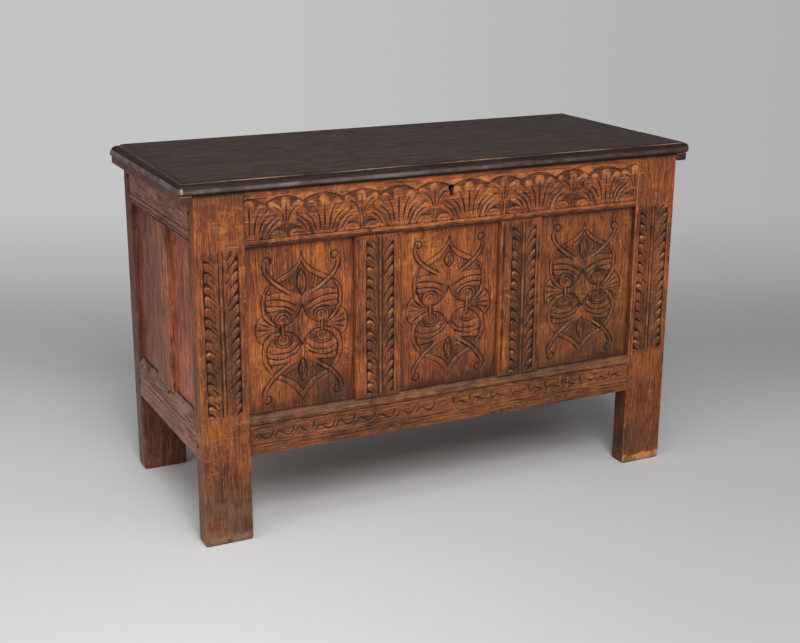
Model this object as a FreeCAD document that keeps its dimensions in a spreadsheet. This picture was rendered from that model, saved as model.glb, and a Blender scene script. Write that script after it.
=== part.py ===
import FreeCAD, Part
import os
import re
import Sketcher

# Joined oak chest. Millimetres, +Z up, X along the front, the front faces -Y.
# The origin is on the floor, in the middle of the chest.

doc = FreeCAD.newDocument("JoinedChest")

# ---------------------------------------------------------------- sizes

sizes = {
    # frame of the carcase
    "carcase_length": 1156,
    "carcase_depth": 510,
    "carcase_height": 752,
    "stile_width": 104,
    "stile_thickness": 45,
    "leg_height": 189,
    "rail_thickness": 30,
    "top_rail_height": 117,
    "bottom_rail_height": 87,
    "side_top_rail_height": 104,
    "side_bottom_rail_height": 91,
    "muntin_width": 105,
    "muntin_spacing": 349,
    "front_muntin_shift": -5,
    "side_muntin_width": 98,
    "front_bevel_height": 10,
    "side_bevel_height": 13,
    "bevel_depth": 9,
    # panels and their grooves
    "panel_thickness": 9,
    "panel_recess": 12,
    "groove_depth": 10,
    "panel_edge_play": 1,
    "groove_play": 0.2,
    # mortises, tenons and pegs
    "rail_tenon_length": 38,
    "side_tenon_length": 30,
    "muntin_tenon_length": 30,
    "tenon_shoulder": 12,
    "tenon_top_margin": 25,
    "mortise_play": 0.1,
    "mortise_end_play": 1,
    "peg_radius": 4,
    "peg_edge_distance": 12,
    "side_peg_length": 38,
    "muntin_peg_edge": 10,
    "muntin_peg_offset": 19,
    "peg_play": 0.05,
    # floor
    "floor_thickness": 12,
    "floor_lip": 12,
    "floor_board_gap": 0.5,
    "floor_notch_play": 0.4,
    # lid
    "lid_thickness": 24,
    "lid_end_overhang": 32,
    "lid_front_overhang": 8,
    "lid_rest_gap": 0.3,
    "nose_top_radius": 14,
    "nose_under_radius": 8,
    "cleat_width": 25,
    "cleat_height": 18,
    "cleat_side_gap": 1,
    "cleat_front_setback": 4,
    "cleat_edge_radius": 6,
    # strap hinges
    "hinge_inset": 84,
    "strap_width": 30,
    "strap_length": 230,
    "strap_tip_width": 16,
    "hinge_plate_thickness": 2.5,
    "leaf_length": 92,
    "barrel_radius": 5,
    "barrel_gap": 0.3,
    "middle_knuckle": 10,
    "knuckle_gap": 0.5,
    "hinge_pin_radius": 2,
    "hinge_pin_play": 0.05,
    "strap_notch_play": 0.6,
    # lock
    "key_shift": -9,
    "keyhole_drop": 31,
    "keyhole_radius": 5.5,
    "key_slot_width": 5,
    "key_slot_drop": 17,
    "lock_plate_thickness": 2,
    "lock_plate_margin": 11,
    "lock_case_height": 52,
    "lock_case_wall": 1.5,
    "lock_head_room": 3.5,
    "lock_tail_room": 4,
    "lock_tip_room": 5,
    "key_post_radius": 2,
    "bolt_length": 67.5,
    "bolt_height": 11,
    "bolt_thickness": 5,
    "bolt_stand_off": 5,
    "bolt_rise": 14.5,
    "bolt_throw": 14,
    "bolt_tip_gap": 2,
    "bolt_play": 0.35,
    "talon_width": 8,
    "talon_depth": 5,
    "guide_width": 5,
    "guide_thickness": 1.6,
    "guide_reach": 14.5,
    "spring_length": 16,
    "spring_reach": 27,
    "spring_thickness": 0.8,
    "spring_width": 7,
    "spring_crown": 3,
    "staple_reach": 26,
    "staple_width": 5,
    "staple_bar": 3,
    "staple_play": 1,
    "staple_drop_play": 1.5,
    "staple_slot_play": 1.5,
    "staple_plate_length": 44,
    "staple_plate_depth": 24,
    "staple_plate_thickness": 2,
    "staple_nail_margin": 6,
    # forged nails
    "nail_radius": 1.8,
    "nail_tip_radius": 0.6,
    "nail_head_radius": 4.5,
    "nail_head_height": 1.8,
    "nail_hole_play": 0.1,
    "cleat_nail_length": 32,
    "floor_nail_length": 34,
    "strap_nail_length": 20,
    "leaf_nail_length": 24,
    "lock_nail_length": 20,
}

# Places that several pieces share, worked out from the sizes.
places = {
    "half_length": "carcase_length / 2",
    "barrel_reach": "barrel_gap + 2 * barrel_radius",
    "overall_depth": "lid_front_overhang + carcase_depth + barrel_reach",
    "front_face": "lid_front_overhang - overall_depth / 2",
    "rear_face": "front_face + carcase_depth",
    "depth_middle": "front_face + carcase_depth / 2",
    "front_span": "carcase_length / 2 - stile_width",
    "side_span": "carcase_depth / 2 - stile_thickness",
    "opening_low": "leg_height + bottom_rail_height",
    "opening_high": "carcase_height - top_rail_height",
    "side_opening_low": "leg_height + side_bottom_rail_height",
    "side_opening_high": "carcase_height - side_top_rail_height",
    "panel_tongue": "groove_depth - panel_edge_play",
    "floor_low": "leg_height + floor_lip",
    "floor_high": "floor_low + floor_thickness",
    "floor_half": "half_length - rail_thickness + panel_tongue",
    "floor_front": "front_face + rail_thickness - panel_tongue",
    "lid_low": "carcase_height + lid_rest_gap",
    "lid_high": "lid_low + lid_thickness",
    "lid_front": "front_face - lid_front_overhang",
    "lid_half_length": "carcase_length / 2 + lid_end_overhang",
    "nose_radii": "nose_top_radius + nose_under_radius",
    "hinge_y": "rear_face + barrel_gap + barrel_radius",
    "hinge_z": "lid_low - barrel_radius",
    "rail_inside": "front_face + rail_thickness",
    "plate_inside": "rail_inside + lock_plate_thickness",
    "keyhole_level": "carcase_height - keyhole_drop",
    "bolt_low": "keyhole_level + bolt_rise - bolt_height / 2",
    "bolt_high": "bolt_low + bolt_height",
    "bolt_front": "plate_inside + bolt_stand_off",
    "bolt_back": "bolt_front + bolt_thickness",
    "staple_middle": "key_shift + staple_reach",
    "bolt_tip": "staple_middle - staple_width / 2 - bolt_tip_gap",
    "bolt_tail": "bolt_tip - bolt_length",
    "case_high": "bolt_high + lock_head_room + lock_case_wall",
    "case_low": "case_high - lock_case_height",
    "case_left": "bolt_tail - lock_tail_room - lock_case_wall",
    "case_right": "bolt_tip + bolt_throw + lock_tip_room + lock_case_wall",
    "case_inside": "bolt_back + staple_play + staple_bar + staple_slot_play",
}


def fill_sheet(name, cells, as_formula):
    sheet = doc.addObject("Spreadsheet::Sheet", name)
    for row, (alias, content) in enumerate(cells.items(), start=1):
        cell = "B{}".format(row)
        sheet.set("A{}".format(row), alias)
        sheet.setAlias(cell, alias)
        sheet.set(cell, "=" + bound(content, own=name) if as_formula else str(content))
    doc.recompute()
    return sheet


def bound(text, own=None):
    """The expression with each size or place named by its sheet."""
    def qualify(match):
        word = match.group(0)
        if word in sizes:
            return "Sizes." + word
        if word in places:
            return word if own == "Places" else "Places." + word
        return word
    return re.sub(r"[a-z][a-z_]+", qualify, str(text))


sizes_sheet = fill_sheet("Sizes", sizes, as_formula=False)
places_sheet = fill_sheet("Places", places, as_formula=True)

# ---------------------------------------------------------------- building blocks

# Directions that a round piece can point in, as turns of a cylinder that stands on +Z.
turns = {
    "up": FreeCAD.Rotation(),
    "down": FreeCAD.Rotation(FreeCAD.Vector(1, 0, 0), 180),
    "back": FreeCAD.Rotation(FreeCAD.Vector(1, 0, 0), -90),
    "forward": FreeCAD.Rotation(FreeCAD.Vector(1, 0, 0), 90),
    "right": FreeCAD.Rotation(FreeCAD.Vector(0, 1, 0), 90),
    "left": FreeCAD.Rotation(FreeCAD.Vector(0, 1, 0), -90),
}

pieces = []


def set_base(item, x, y, z):
    for axis, text in zip("xyz", (x, y, z)):
        item.setExpression(".Placement.Base." + axis, bound(text))


def box(x, y, z, name="Block"):
    """A block between a low and a high value on each axis."""
    item = doc.addObject("Part::Box", name)
    for side, (low, high) in zip(("Length", "Width", "Height"), (x, y, z)):
        item.setExpression(side, bound("({}) - ({})".format(high, low)))
    set_base(item, x[0], y[0], z[0])
    return item


def rod(start, radius, length, direction, name="Rod"):
    item = doc.addObject("Part::Cylinder", name)
    item.setExpression("Radius", bound(radius))
    item.setExpression("Height", bound(length))
    item.Placement = FreeCAD.Placement(FreeCAD.Vector(), turns[direction])
    set_base(item, *start)
    return item


def cone(start, radius_from, radius_to, length, direction, name="Cone"):
    item = doc.addObject("Part::Cone", name)
    item.setExpression("Radius1", bound(radius_from))
    item.setExpression("Radius2", bound(radius_to))
    item.setExpression("Height", bound(length))
    item.Placement = FreeCAD.Placement(FreeCAD.Vector(), turns[direction])
    set_base(item, *start)
    return item


def fused(items, name="Union"):
    if len(items) == 1:
        return items[0]
    item = doc.addObject("Part::MultiFuse", name)
    item.Shapes = items
    return item


def cut(base, tools, name="Cut"):
    if not tools:
        return base
    item = doc.addObject("Part::Cut", name)
    item.Base = base
    item.Tool = fused(tools, "Tools")
    return item


def piece(label, item):
    """Registers a finished sub-part under the name of its file."""
    item.Label = label
    pieces.append(item)
    return item


def group(label, items):
    item = doc.addObject("Part::Compound", "Group")
    item.Links = items
    return piece(label, item)


def outline(body, role, points, rounds=()):
    """A closed sketch on an origin plane. Every corner is bound to the sheets, and circles too."""
    sketch = body.newObject("Sketcher::SketchObject", "Outline")
    plane = next(f for f in body.Origin.OriginFeatures if f.Role == role)
    sketch.AttachmentSupport = (plane, [""])
    sketch.MapMode = "FlatFace"
    corners = [FreeCAD.Vector(value(x), value(y), 0) for x, y in points]
    count = len(corners)
    for index in range(count):
        sketch.addGeometry(Part.LineSegment(corners[index], corners[(index + 1) % count]))
    for index in range(count):
        sketch.addConstraint(Sketcher.Constraint("Coincident", index, 2, (index + 1) % count, 1))
    for index, point in enumerate(points):
        for kind, other_axis, text in (("DistanceX", -2, point[0]), ("DistanceY", -1, point[1])):
            if text == "0":
                sketch.addConstraint(Sketcher.Constraint("PointOnObject", index, 1, other_axis))
                continue
            number = sketch.addConstraint(Sketcher.Constraint(kind, -1, 1, index, 1, value(text)))
            sketch.setExpression("Constraints[{}]".format(number), bound(text))
    for x, y, radius in rounds:
        circle = Part.Circle(FreeCAD.Vector(value(x), value(y), 0), FreeCAD.Vector(0, 0, 1), value(radius))
        edge = sketch.addGeometry(circle)
        for kind, text in (("DistanceX", x), ("DistanceY", y)):
            number = sketch.addConstraint(Sketcher.Constraint(kind, -1, 1, edge, 3, value(text)))
            sketch.setExpression("Constraints[{}]".format(number), bound(text))
        number = sketch.addConstraint(Sketcher.Constraint("Radius", edge, value(radius)))
        sketch.setExpression("Constraints[{}]".format(number), bound(radius))
    return sketch


def value(text):
    """The number that an expression of sizes and places has now."""
    def number(match):
        word = match.group(0)
        sheet = sizes_sheet if word in sizes else places_sheet
        return repr(float(getattr(sheet, word)))
    return float(FreeCAD.Units.Quantity(re.sub(r"[a-z][a-z_]+", number, text)).Value)


def padded(name, role, points, depth, at, rounds=()):
    """A plate of one outline, padded away from an origin plane of its own body."""
    body = doc.addObject("PartDesign::Body", name)
    sketch = outline(body, role, points, rounds)
    pad = body.newObject("PartDesign::Pad", "Pad")
    pad.Profile = sketch
    pad.setExpression("Length", bound(depth))
    body.Tip = pad
    set_base(body, *at)
    doc.recompute()
    return body


def round_over(body, chosen, radius):
    """Rounds the edges of the body's tip whose middle point passes the test."""
    tip = body.Tip
    names = []
    for number, edge in enumerate(tip.Shape.Edges, start=1):
        if chosen(edge.CenterOfMass):
            names.append("Edge{}".format(number))
    fillet = body.newObject("PartDesign::Fillet", "Fillet")
    fillet.Base = (tip, names)
    fillet.setExpression("Radius", bound(radius))
    body.Tip = fillet
    doc.recompute()
    return fillet


# ---------------------------------------------------------------- the four frames

# u runs along a frame, v runs inwards from its face. Each frame knows its own spans and edges.
frames = {
    "front": {"span": "front_span", "low": "opening_low", "high": "opening_high"},
    "rear": {"span": "front_span", "low": "opening_low", "high": "opening_high"},
    "left": {"span": "side_span", "low": "side_opening_low", "high": "side_opening_high"},
    "right": {"span": "side_span", "low": "side_opening_low", "high": "side_opening_high"},
}
tenon_lengths = {"front": "rail_tenon_length", "rear": "rail_tenon_length",
                 "left": "side_tenon_length", "right": "side_tenon_length"}
peg_lengths = {"front": "stile_thickness", "rear": "stile_thickness",
               "left": "side_peg_length", "right": "side_peg_length"}
inward = {"front": "back", "rear": "forward", "left": "right", "right": "left"}

tenon_v = ("panel_recess", "panel_recess + panel_thickness")
mortise_v = ("panel_recess - mortise_play", "panel_recess + panel_thickness + mortise_play")
groove_v = ("panel_recess - groove_play", "panel_recess + panel_thickness + groove_play")
whole_v = ("0", "rail_thickness")
floor_slot_z = ("floor_low - groove_play", "floor_high + groove_play")


def about(middle, reach):
    """The low and the high place at one distance from a middle."""
    return "({} - ({}))".format(middle, reach), "({} + ({}))".format(middle, reach)


def on_frame(frame, u, v, z, name="Block"):
    """A block in a frame's own directions, as a block of the chest."""
    if frame == "front":
        return box(u, ["front_face + {}".format(depth) for depth in v], z, name)
    if frame == "rear":
        return box(u, ["rear_face - ({})".format(depth) for depth in reversed(v)], z, name)
    y = ["depth_middle + {}".format(place) for place in u]
    if frame == "left":
        return box(["{} - half_length".format(depth) for depth in v], y, z, name)
    return box(["half_length - ({})".format(depth) for depth in reversed(v)], y, z, name)


def frame_point(frame, u, v, z):
    if frame == "front":
        return u, "front_face + {}".format(v), z
    if frame == "rear":
        return u, "rear_face - ({})".format(v), z
    if frame == "left":
        return "{} - half_length".format(v), "depth_middle + {}".format(u), z
    return "half_length - ({})".format(v), "depth_middle + {}".format(u), z


def tenon_z(frame, rail):
    """The height that a rail's tenon covers: shouldered at the opening and at the free edge."""
    edges = frames[frame]
    if rail == "top":
        return "{} + tenon_shoulder".format(edges["high"]), "carcase_height - tenon_top_margin"
    low = "floor_high" if (frame, rail) == ("rear", "bottom") else "leg_height"
    return "{} + tenon_shoulder".format(low), "{} - tenon_shoulder".format(edges["low"])


def peg_levels(frame, rail):
    low, high = tenon_z(frame, rail)
    return ["({}) + (({}) - ({})) * {}".format(low, high, low, part) for part in (0.25, 0.75)]


def corner_pegs(frame, end, play=None):
    """The draw-bore pegs of one corner of a frame, or their holes with some play."""
    radius = "peg_radius + peg_play" if play else "peg_radius"
    length = peg_lengths[frame] + (" + mortise_end_play" if play and frame in ("left", "right") else "")
    along = "{} * ({} + peg_edge_distance)".format(end, frames[frame]["span"])
    rods = []
    for rail in ("top", "bottom"):
        for level in peg_levels(frame, rail):
            rods.append(rod(frame_point(frame, along, "0", level), radius, length, inward[frame], "Peg"))
    return rods


def muntin_places(frame):
    """The middle of each muntin along its frame, and its width."""
    if frame in ("left", "right"):
        return [("0", "side_muntin_width")]
    shift = "front_muntin_shift" if frame == "front" else "0"
    return [("({} - muntin_spacing / 2)".format(shift), "muntin_width"),
            ("({} + muntin_spacing / 2)".format(shift), "muntin_width")]


def muntin_pegs(frame, edge, play=None):
    """One peg through each muntin tenon at an edge of the opening."""
    radius = "peg_radius + peg_play" if play else "peg_radius"
    level = {"high": "{} + muntin_peg_edge", "low": "{} - muntin_peg_edge"}[edge].format(frames[frame][edge])
    rods = []
    for middle, width in muntin_places(frame):
        place = frame_point(frame, "{} - muntin_peg_offset".format(middle), "0", level)
        rods.append(rod(place, radius, "rail_thickness", inward[frame], "Peg"))
    return rods


def muntin_mortises(frame, edge):
    texts = {"high": ("{0}", "{0} + muntin_tenon_length + mortise_end_play"),
             "low": ("{0} - muntin_tenon_length - mortise_end_play", "{0}")}[edge]
    z = [text.format(frames[frame][edge]) for text in texts]
    holes = []
    for middle, width in muntin_places(frame):
        u = about(middle, "{} / 2 - tenon_shoulder + mortise_play".format(width))
        holes.append(on_frame(frame, u, mortise_v, z, "Mortise"))
    return holes


def rail_groove(frame, edge):
    texts = {"high": ("{0}", "{0} + groove_depth"), "low": ("{0} - groove_depth", "{0}")}[edge]
    z = [text.format(frames[frame][edge]) for text in texts]
    span = frames[frame]["span"]
    return on_frame(frame, ("-" + span, span), groove_v, z, "Groove")


def rail(frame, kind, extra_tools=()):
    """A rail with its two tenons, its panel groove, and the mortises of the muntins."""
    span = frames[frame]["span"]
    edge = {"top": "high", "bottom": "low"}[kind]
    low = "floor_high" if (frame, kind) == ("rear", "bottom") else "leg_height"
    z = {"top": (frames[frame]["high"], "carcase_height"), "bottom": (low, frames[frame]["low"])}[kind]
    reach = "({} + {})".format(span, tenon_lengths[frame])
    board = on_frame(frame, ("-" + span, span), whole_v, z, "Rail")
    tongue = on_frame(frame, ("-" + reach, reach), tenon_v, tenon_z(frame, kind), "Tenons")
    tools = [rail_groove(frame, edge)] + muntin_mortises(frame, edge) + muntin_pegs(frame, edge, play=True)
    for end in (-1, 1):
        holes = corner_pegs(frame, end, play=True)
        tools += holes[:2] if kind == "top" else holes[2:]
    return cut(fused([board, tongue]), tools + list(extra_tools))


def floor_slot(frame):
    """The groove near a bottom rail's lower edge that holds the floor boards."""
    span = frames[frame]["span"]
    depth = ("rail_thickness - groove_depth", "rail_thickness")
    return on_frame(frame, ("-" + span, span), depth, floor_slot_z, "FloorSlot")


def stile(front_or_rear, left_or_right):
    """A corner stile and leg, with the mortises and grooves of the two frames that meet there."""
    side = {"left": -1, "right": 1}[left_or_right]
    end = {"front": -1, "rear": 1}[front_or_rear]
    x = {"left": ("-half_length", "stile_width - half_length"),
         "right": ("half_length - stile_width", "half_length")}[left_or_right]
    post = on_frame(front_or_rear, x, ("0", "stile_thickness"), ("0", "carcase_height"), "Post")
    tools = []
    for frame, toward in ((front_or_rear, side), (left_or_right, end)):
        span = frames[frame]["span"]
        groove_z = ("{} - groove_depth".format(frames[frame]["low"]),
                    "{} + groove_depth".format(frames[frame]["high"]))
        hollows = [("groove_depth", groove_v, groove_z, "Groove")]
        for kind in ("top", "bottom"):
            low, high = tenon_z(frame, kind)
            z = (low + " - mortise_play", high + " + mortise_play")
            hollows.append((tenon_lengths[frame] + " + mortise_end_play", mortise_v, z, "Mortise"))
        for depth, v, z, name in hollows:
            far = "({} + {})".format(span, depth)
            u = (span, far) if toward > 0 else ("-" + far, "-" + span)
            tools.append(on_frame(frame, u, v, z, name))
        tools += corner_pegs(frame, toward, play=True)
    return cut(post, tools)


def muntin(frame, middle, width):
    low, high = frames[frame]["low"], frames[frame]["high"]
    half = "{} / 2".format(width)
    board = on_frame(frame, about(middle, half), whole_v, (low, high), "Muntin")
    z = ("{} - muntin_tenon_length".format(low), "{} + muntin_tenon_length".format(high))
    tongue = on_frame(frame, about(middle, half + " - tenon_shoulder"), tenon_v, z, "Tenons")
    tools = []
    for sign, inner in (("-", "+"), ("+", "-")):
        outer = "{} {} {}".format(middle, sign, half)
        deep = "{} {} ({} - groove_depth)".format(middle, sign, half)
        u = (outer, deep) if sign == "-" else (deep, outer)
        tools.append(on_frame(frame, u, groove_v, (low, high), "Groove"))
    for edge in ("high", "low"):
        index = [place for place, _ in muntin_places(frame)].index(middle)
        tools.append(muntin_pegs(frame, edge, play=True)[index])
    return cut(fused([board, tongue]), tools)


def panel(frame, low_u, high_u):
    """A plain board whose edges sit in the grooves all round."""
    z = ("{} - panel_tongue".format(frames[frame]["low"]), "{} + panel_tongue".format(frames[frame]["high"]))
    u = ("{} - panel_tongue".format(low_u), "{} + panel_tongue".format(high_u))
    return on_frame(frame, u, tenon_v, z, "Panel")


def muntin_edges(frame):
    return [about(middle, width + " / 2") for middle, width in muntin_places(frame)]


def panel_openings(frame):
    """The two ends of each panel's opening along its frame."""
    span = frames[frame]["span"]
    edges = ["-" + span]
    for low_u, high_u in muntin_edges(frame):
        edges += [low_u, high_u]
    edges.append(span)
    return list(zip(edges[::2], edges[1::2]))


def sill_bevels(frame):
    """The bevel on a bottom rail's upper arris, stopped at each stile and muntin."""
    height = "front_bevel_height" if frame == "front" else "side_bevel_height"
    z = "{} - {}".format(frames[frame]["low"], height)
    tools = []
    for low_u, high_u in panel_openings(frame):
        length = "({}) - ({})".format(high_u, low_u)
        if frame == "front":
            points = [("0", "0"), ("bevel_depth", height), ("0", height)]
            tools.append(padded("Bevel", "YZ_Plane", points, length, (low_u, "front_face", z)))
            continue
        outer = {"left": "-half_length", "right": "half_length"}[frame]
        inner = {"left": "bevel_depth", "right": "-bevel_depth"}[frame]
        points = [("0", "0"), (inner, height), ("0", height)]
        at = (outer, "depth_middle + {}".format(high_u), z)
        tools.append(padded("Bevel", "XZ_Plane", points, length, at))
    return tools


for front_or_rear in ("front", "rear"):
    for left_or_right in ("left", "right"):
        piece("{}_{}_stile".format(front_or_rear, left_or_right), stile(front_or_rear, left_or_right))

for frame in ("front", "rear"):
    for name, place in zip(("left", "right"), muntin_places(frame)):
        piece("{}_{}_muntin".format(frame, name), muntin(frame, *place))
    for name, opening in zip(("left", "centre", "right"), panel_openings(frame)):
        piece("{}_{}_panel".format(frame, name), panel(frame, *opening))

for frame in ("left", "right"):
    piece("{}_side_top_rail".format(frame), rail(frame, "top"))
    bottom_cuts = [floor_slot(frame)] + sill_bevels(frame)
    piece("{}_side_bottom_rail".format(frame), rail(frame, "bottom", bottom_cuts))
    piece("{}_side_muntin".format(frame), muntin(frame, *muntin_places(frame)[0]))
    for name, opening in zip(("front", "rear"), panel_openings(frame)):
        piece("{}_side_{}_panel".format(frame, name), panel(frame, *opening))

for frame in ("front", "rear", "left", "right"):
    pegs = corner_pegs(frame, -1) + corner_pegs(frame, 1)
    pegs += muntin_pegs(frame, "high") + muntin_pegs(frame, "low")
    group("{}_pegs".format(frame), pegs)

# ---------------------------------------------------------------- nails


def nail_shank(start, length, direction, play=None):
    grow = " + nail_hole_play" if play else ""
    return cone(start, "nail_radius" + grow, "nail_tip_radius" + grow, length + grow, direction, "Shank")


def nail(start, length, direction):
    """A forged nail: a tapered shank that starts where its low domed head meets the work."""
    opposite = {"up": "down", "down": "up", "back": "forward", "forward": "back"}[direction]
    head = cone(start, "nail_head_radius", "nail_head_radius / 2", "nail_head_height", opposite, "Head")
    return fused([head, nail_shank(start, length, direction)], "Nail")


def nail_holes(starts, length, direction):
    return [nail_shank(start, length, direction, play=True) for start in starts]


# ---------------------------------------------------------------- floor

board_count = 5


def board_edges(index):
    pitch = "2 * floor_half / {}".format(board_count)
    return ["({} * {} - floor_half)".format(place, pitch) for place in (index, index + 1)]


def floor_nail_starts(index):
    """Two nails for a board, driven up into the rear rail between the stiles."""
    low, high = board_edges(index)
    low = "(-front_span)" if index == 0 else low
    high = "front_span" if index == board_count - 1 else high
    y = "rear_face - rail_thickness / 2"
    return [("{0} + ({1} - {0}) * {2}".format(low, high, part), y, "floor_low") for part in (0.25, 0.75)]


def floor_board(index):
    """A board from the front groove to the rear face, notched round the stiles at the ends."""
    low, high = board_edges(index)
    x = (low + " + floor_board_gap / 2", high + " - floor_board_gap / 2")
    board = box(x, ("floor_front", "rear_face"), ("floor_low", "floor_high"), "Board")
    tools = nail_holes(floor_nail_starts(index), "floor_nail_length", "up")
    notch_x = {0: ("-floor_half", "floor_notch_play - front_span"),
               board_count - 1: ("front_span - floor_notch_play", "floor_half")}.get(index)
    if notch_x:
        deep = "(stile_thickness + floor_notch_play)"
        for y in (("floor_front", "front_face + " + deep), ("rear_face - " + deep, "rear_face")):
            tools.append(box(notch_x, y, ("floor_low", "floor_high"), "Notch"))
    return cut(board, tools)


board_nail_starts = []
for index in range(board_count):
    piece("floor_board_{}".format(index + 1), floor_board(index))
    board_nail_starts += floor_nail_starts(index)
group("floor_nails", [nail(start, "floor_nail_length", "up") for start in board_nail_starts])

# ---------------------------------------------------------------- hinges

hinge_sides = (("left", "(hinge_inset - front_span)"), ("right", "(front_span - hinge_inset)"))
plate_low = "(lid_low - hinge_plate_thickness)"


def strap_nail_starts(middle):
    y = "rear_face - strap_length * {}"
    return [(middle, y.format(part), plate_low) for part in (0.24, 0.46, 0.68, 0.9)]


def leaf_nail_starts(middle):
    y = "rear_face + hinge_plate_thickness"
    steps = ((0.33, -1), (0.6, 1), (0.87, -1))
    return [("{} + {} * strap_width / 5".format(middle, side), y, "hinge_z - leaf_length * {}".format(part))
            for part, side in steps]


def hinge_bore(middle):
    start = ("{} - strap_width".format(middle), "hinge_y", "hinge_z")
    return rod(start, "hinge_pin_radius + hinge_pin_play", "2 * strap_width", "right", "Bore")


def hinge_strap(middle):
    """A tapered strap under the lid, with the middle knuckle at its rear end."""
    narrow = "strap_width / 2 {} strap_tip_width / 2"
    points = [(narrow.format("-"), "0"), (narrow.format("+"), "0"), ("strap_width", "strap_length"),
              ("0", "strap_length")]
    at = ("{} - strap_width / 2".format(middle), "rear_face - strap_length", plate_low)
    strap = padded("Strap", "XY_Plane", points, "hinge_plate_thickness", at)
    x = about(middle, "middle_knuckle / 2")
    tongue = box(x, ("rear_face", "hinge_y"), (plate_low, "lid_low"), "Tongue")
    knuckle = rod((x[0], "hinge_y", "hinge_z"), "barrel_radius", "middle_knuckle", "right", "Knuckle")
    holes = nail_holes(strap_nail_starts(middle), "strap_nail_length", "up")
    return cut(fused([strap, tongue, knuckle]), [hinge_bore(middle)] + holes)


def hinge_leaf(middle):
    """A plate on the rear rail's back, with the two outer knuckles."""
    y = ("rear_face", "rear_face + hinge_plate_thickness")
    leaf_x = about(middle, "strap_width / 2")
    gap_x = about(middle, "middle_knuckle / 2 + knuckle_gap")
    plate = box(leaf_x, y, ("hinge_z - leaf_length", "hinge_z"), "Leaf")
    length = "{} - {}".format(leaf_x[1], gap_x[1])
    knuckles = []
    for x in (leaf_x[0], gap_x[1]):
        knuckles.append(rod((x, "hinge_y", "hinge_z"), "barrel_radius", length, "right", "Knuckle"))
    gap = box(gap_x, y, ("hinge_z - barrel_radius - 2 * barrel_gap", "hinge_z"), "KnuckleGap")
    holes = nail_holes(leaf_nail_starts(middle), "leaf_nail_length", "forward")
    return cut(fused([plate] + knuckles), [gap, hinge_bore(middle)] + holes)


all_strap_nails = []
all_leaf_nails = []
strap_notches = []
for side, middle in hinge_sides:
    piece("{}_hinge_strap".format(side), hinge_strap(middle))
    piece("{}_hinge_leaf".format(side), hinge_leaf(middle))
    pin_start = ("{} - strap_width / 2".format(middle), "hinge_y", "hinge_z")
    piece("{}_hinge_pin".format(side), rod(pin_start, "hinge_pin_radius", "strap_width", "right", "Pin"))
    all_strap_nails += strap_nail_starts(middle)
    all_leaf_nails += leaf_nail_starts(middle)
    notch_x = about(middle, "strap_width / 2 + strap_notch_play")
    notch_z = (plate_low + " - strap_notch_play", "carcase_height")
    strap_notches.append(box(notch_x, ("rear_face - rail_thickness", "rear_face"), notch_z, "StrapNotch"))
group("strap_nails", [nail(start, "strap_nail_length", "up") for start in all_strap_nails])
group("leaf_nails", [nail(start, "leaf_nail_length", "forward") for start in all_leaf_nails])

leaf_nail_holes = nail_holes(all_leaf_nails, "leaf_nail_length", "forward")
piece("rear_top_rail", rail("rear", "top", strap_notches + leaf_nail_holes))
piece("rear_bottom_rail", rail("rear", "bottom", nail_holes(board_nail_starts, "floor_nail_length", "up")))
front_cuts = [floor_slot("front")] + sill_bevels("front")
piece("front_bottom_rail", rail("front", "bottom", front_cuts))

# ---------------------------------------------------------------- lock


def keyhole(y_low, y_high):
    """Round at the top for the pipe of the key, with a slot below it for the bit."""
    length = "({}) - ({})".format(y_high, y_low)
    barrel = rod(("key_shift", y_low, "keyhole_level"), "keyhole_radius", length, "back", "KeyPipe")
    slot_z = ("keyhole_level - key_slot_drop", "keyhole_level")
    slot = box(about("key_shift", "key_slot_width / 2"), (y_low, y_high), slot_z, "KeySlot")
    return fused([barrel, slot])


case_x = ("case_left", "case_right")
lock_nail_starts = []
for x in (case_x[0] + " - lock_plate_margin / 2", case_x[1] + " + lock_plate_margin / 2"):
    for z in ("case_low", "case_high - lock_plate_margin"):
        lock_nail_starts.append((x, "plate_inside", z))
rail_holes = nail_holes(lock_nail_starts, "lock_nail_length", "forward")
piece("front_top_rail", rail("front", "top", [keyhole("front_face", "rail_inside")] + rail_holes))

plate_x = (case_x[0] + " - lock_plate_margin", case_x[1] + " + lock_plate_margin")
plate_z = ("case_low - lock_plate_margin", "case_high")
plate = box(plate_x, ("rail_inside", "plate_inside"), plate_z, "Plate")
plate_holes = nail_holes(lock_nail_starts, "lock_nail_length", "forward")
piece("lock_plate", cut(plate, [keyhole("rail_inside", "plate_inside")] + plate_holes))
group("lock_nails", [nail(start, "lock_nail_length", "forward") for start in lock_nail_starts])

inside_y = ("plate_inside", "case_inside")
shell = box(case_x, ("plate_inside", "case_inside + lock_case_wall"), ("case_low", "case_high"), "Shell")
hollow_x = (case_x[0] + " + lock_case_wall", case_x[1] + " - lock_case_wall")
hollow_z = ("case_low + lock_case_wall", "case_high - lock_case_wall")
hollow = box(hollow_x, inside_y, hollow_z, "Hollow")
slot_x = about("staple_middle", "staple_width / 2 + staple_slot_play")
staple_slot = box(slot_x, inside_y, ("case_high - lock_case_wall", "case_high"), "StapleSlot")
piece("lock_case", cut(shell, [hollow, staple_slot]))
post_start = ("key_shift", "case_inside", "keyhole_level")
piece("key_post", rod(post_start, "key_post_radius", "case_inside - plate_inside", "forward", "KeyPost"))


def bolt_guide(side):
    """A block on the lock plate with a square way through it for the bolt."""
    x = about("(key_shift + {} * guide_reach)".format(side), "guide_width / 2")
    grow = "(bolt_play + guide_thickness)"
    block_z = ("bolt_low - " + grow, "bolt_high + " + grow)
    block = box(x, ("plate_inside", "bolt_back + " + grow), block_z, "Guide")
    way_y = ("bolt_front - bolt_play", "bolt_back + bolt_play")
    way = box(x, way_y, ("bolt_low - bolt_play", "bolt_high + bolt_play"), "BoltWay")
    return cut(block, [way])


group("bolt_guides", [bolt_guide(side) for side in (-1, 1)])

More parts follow.
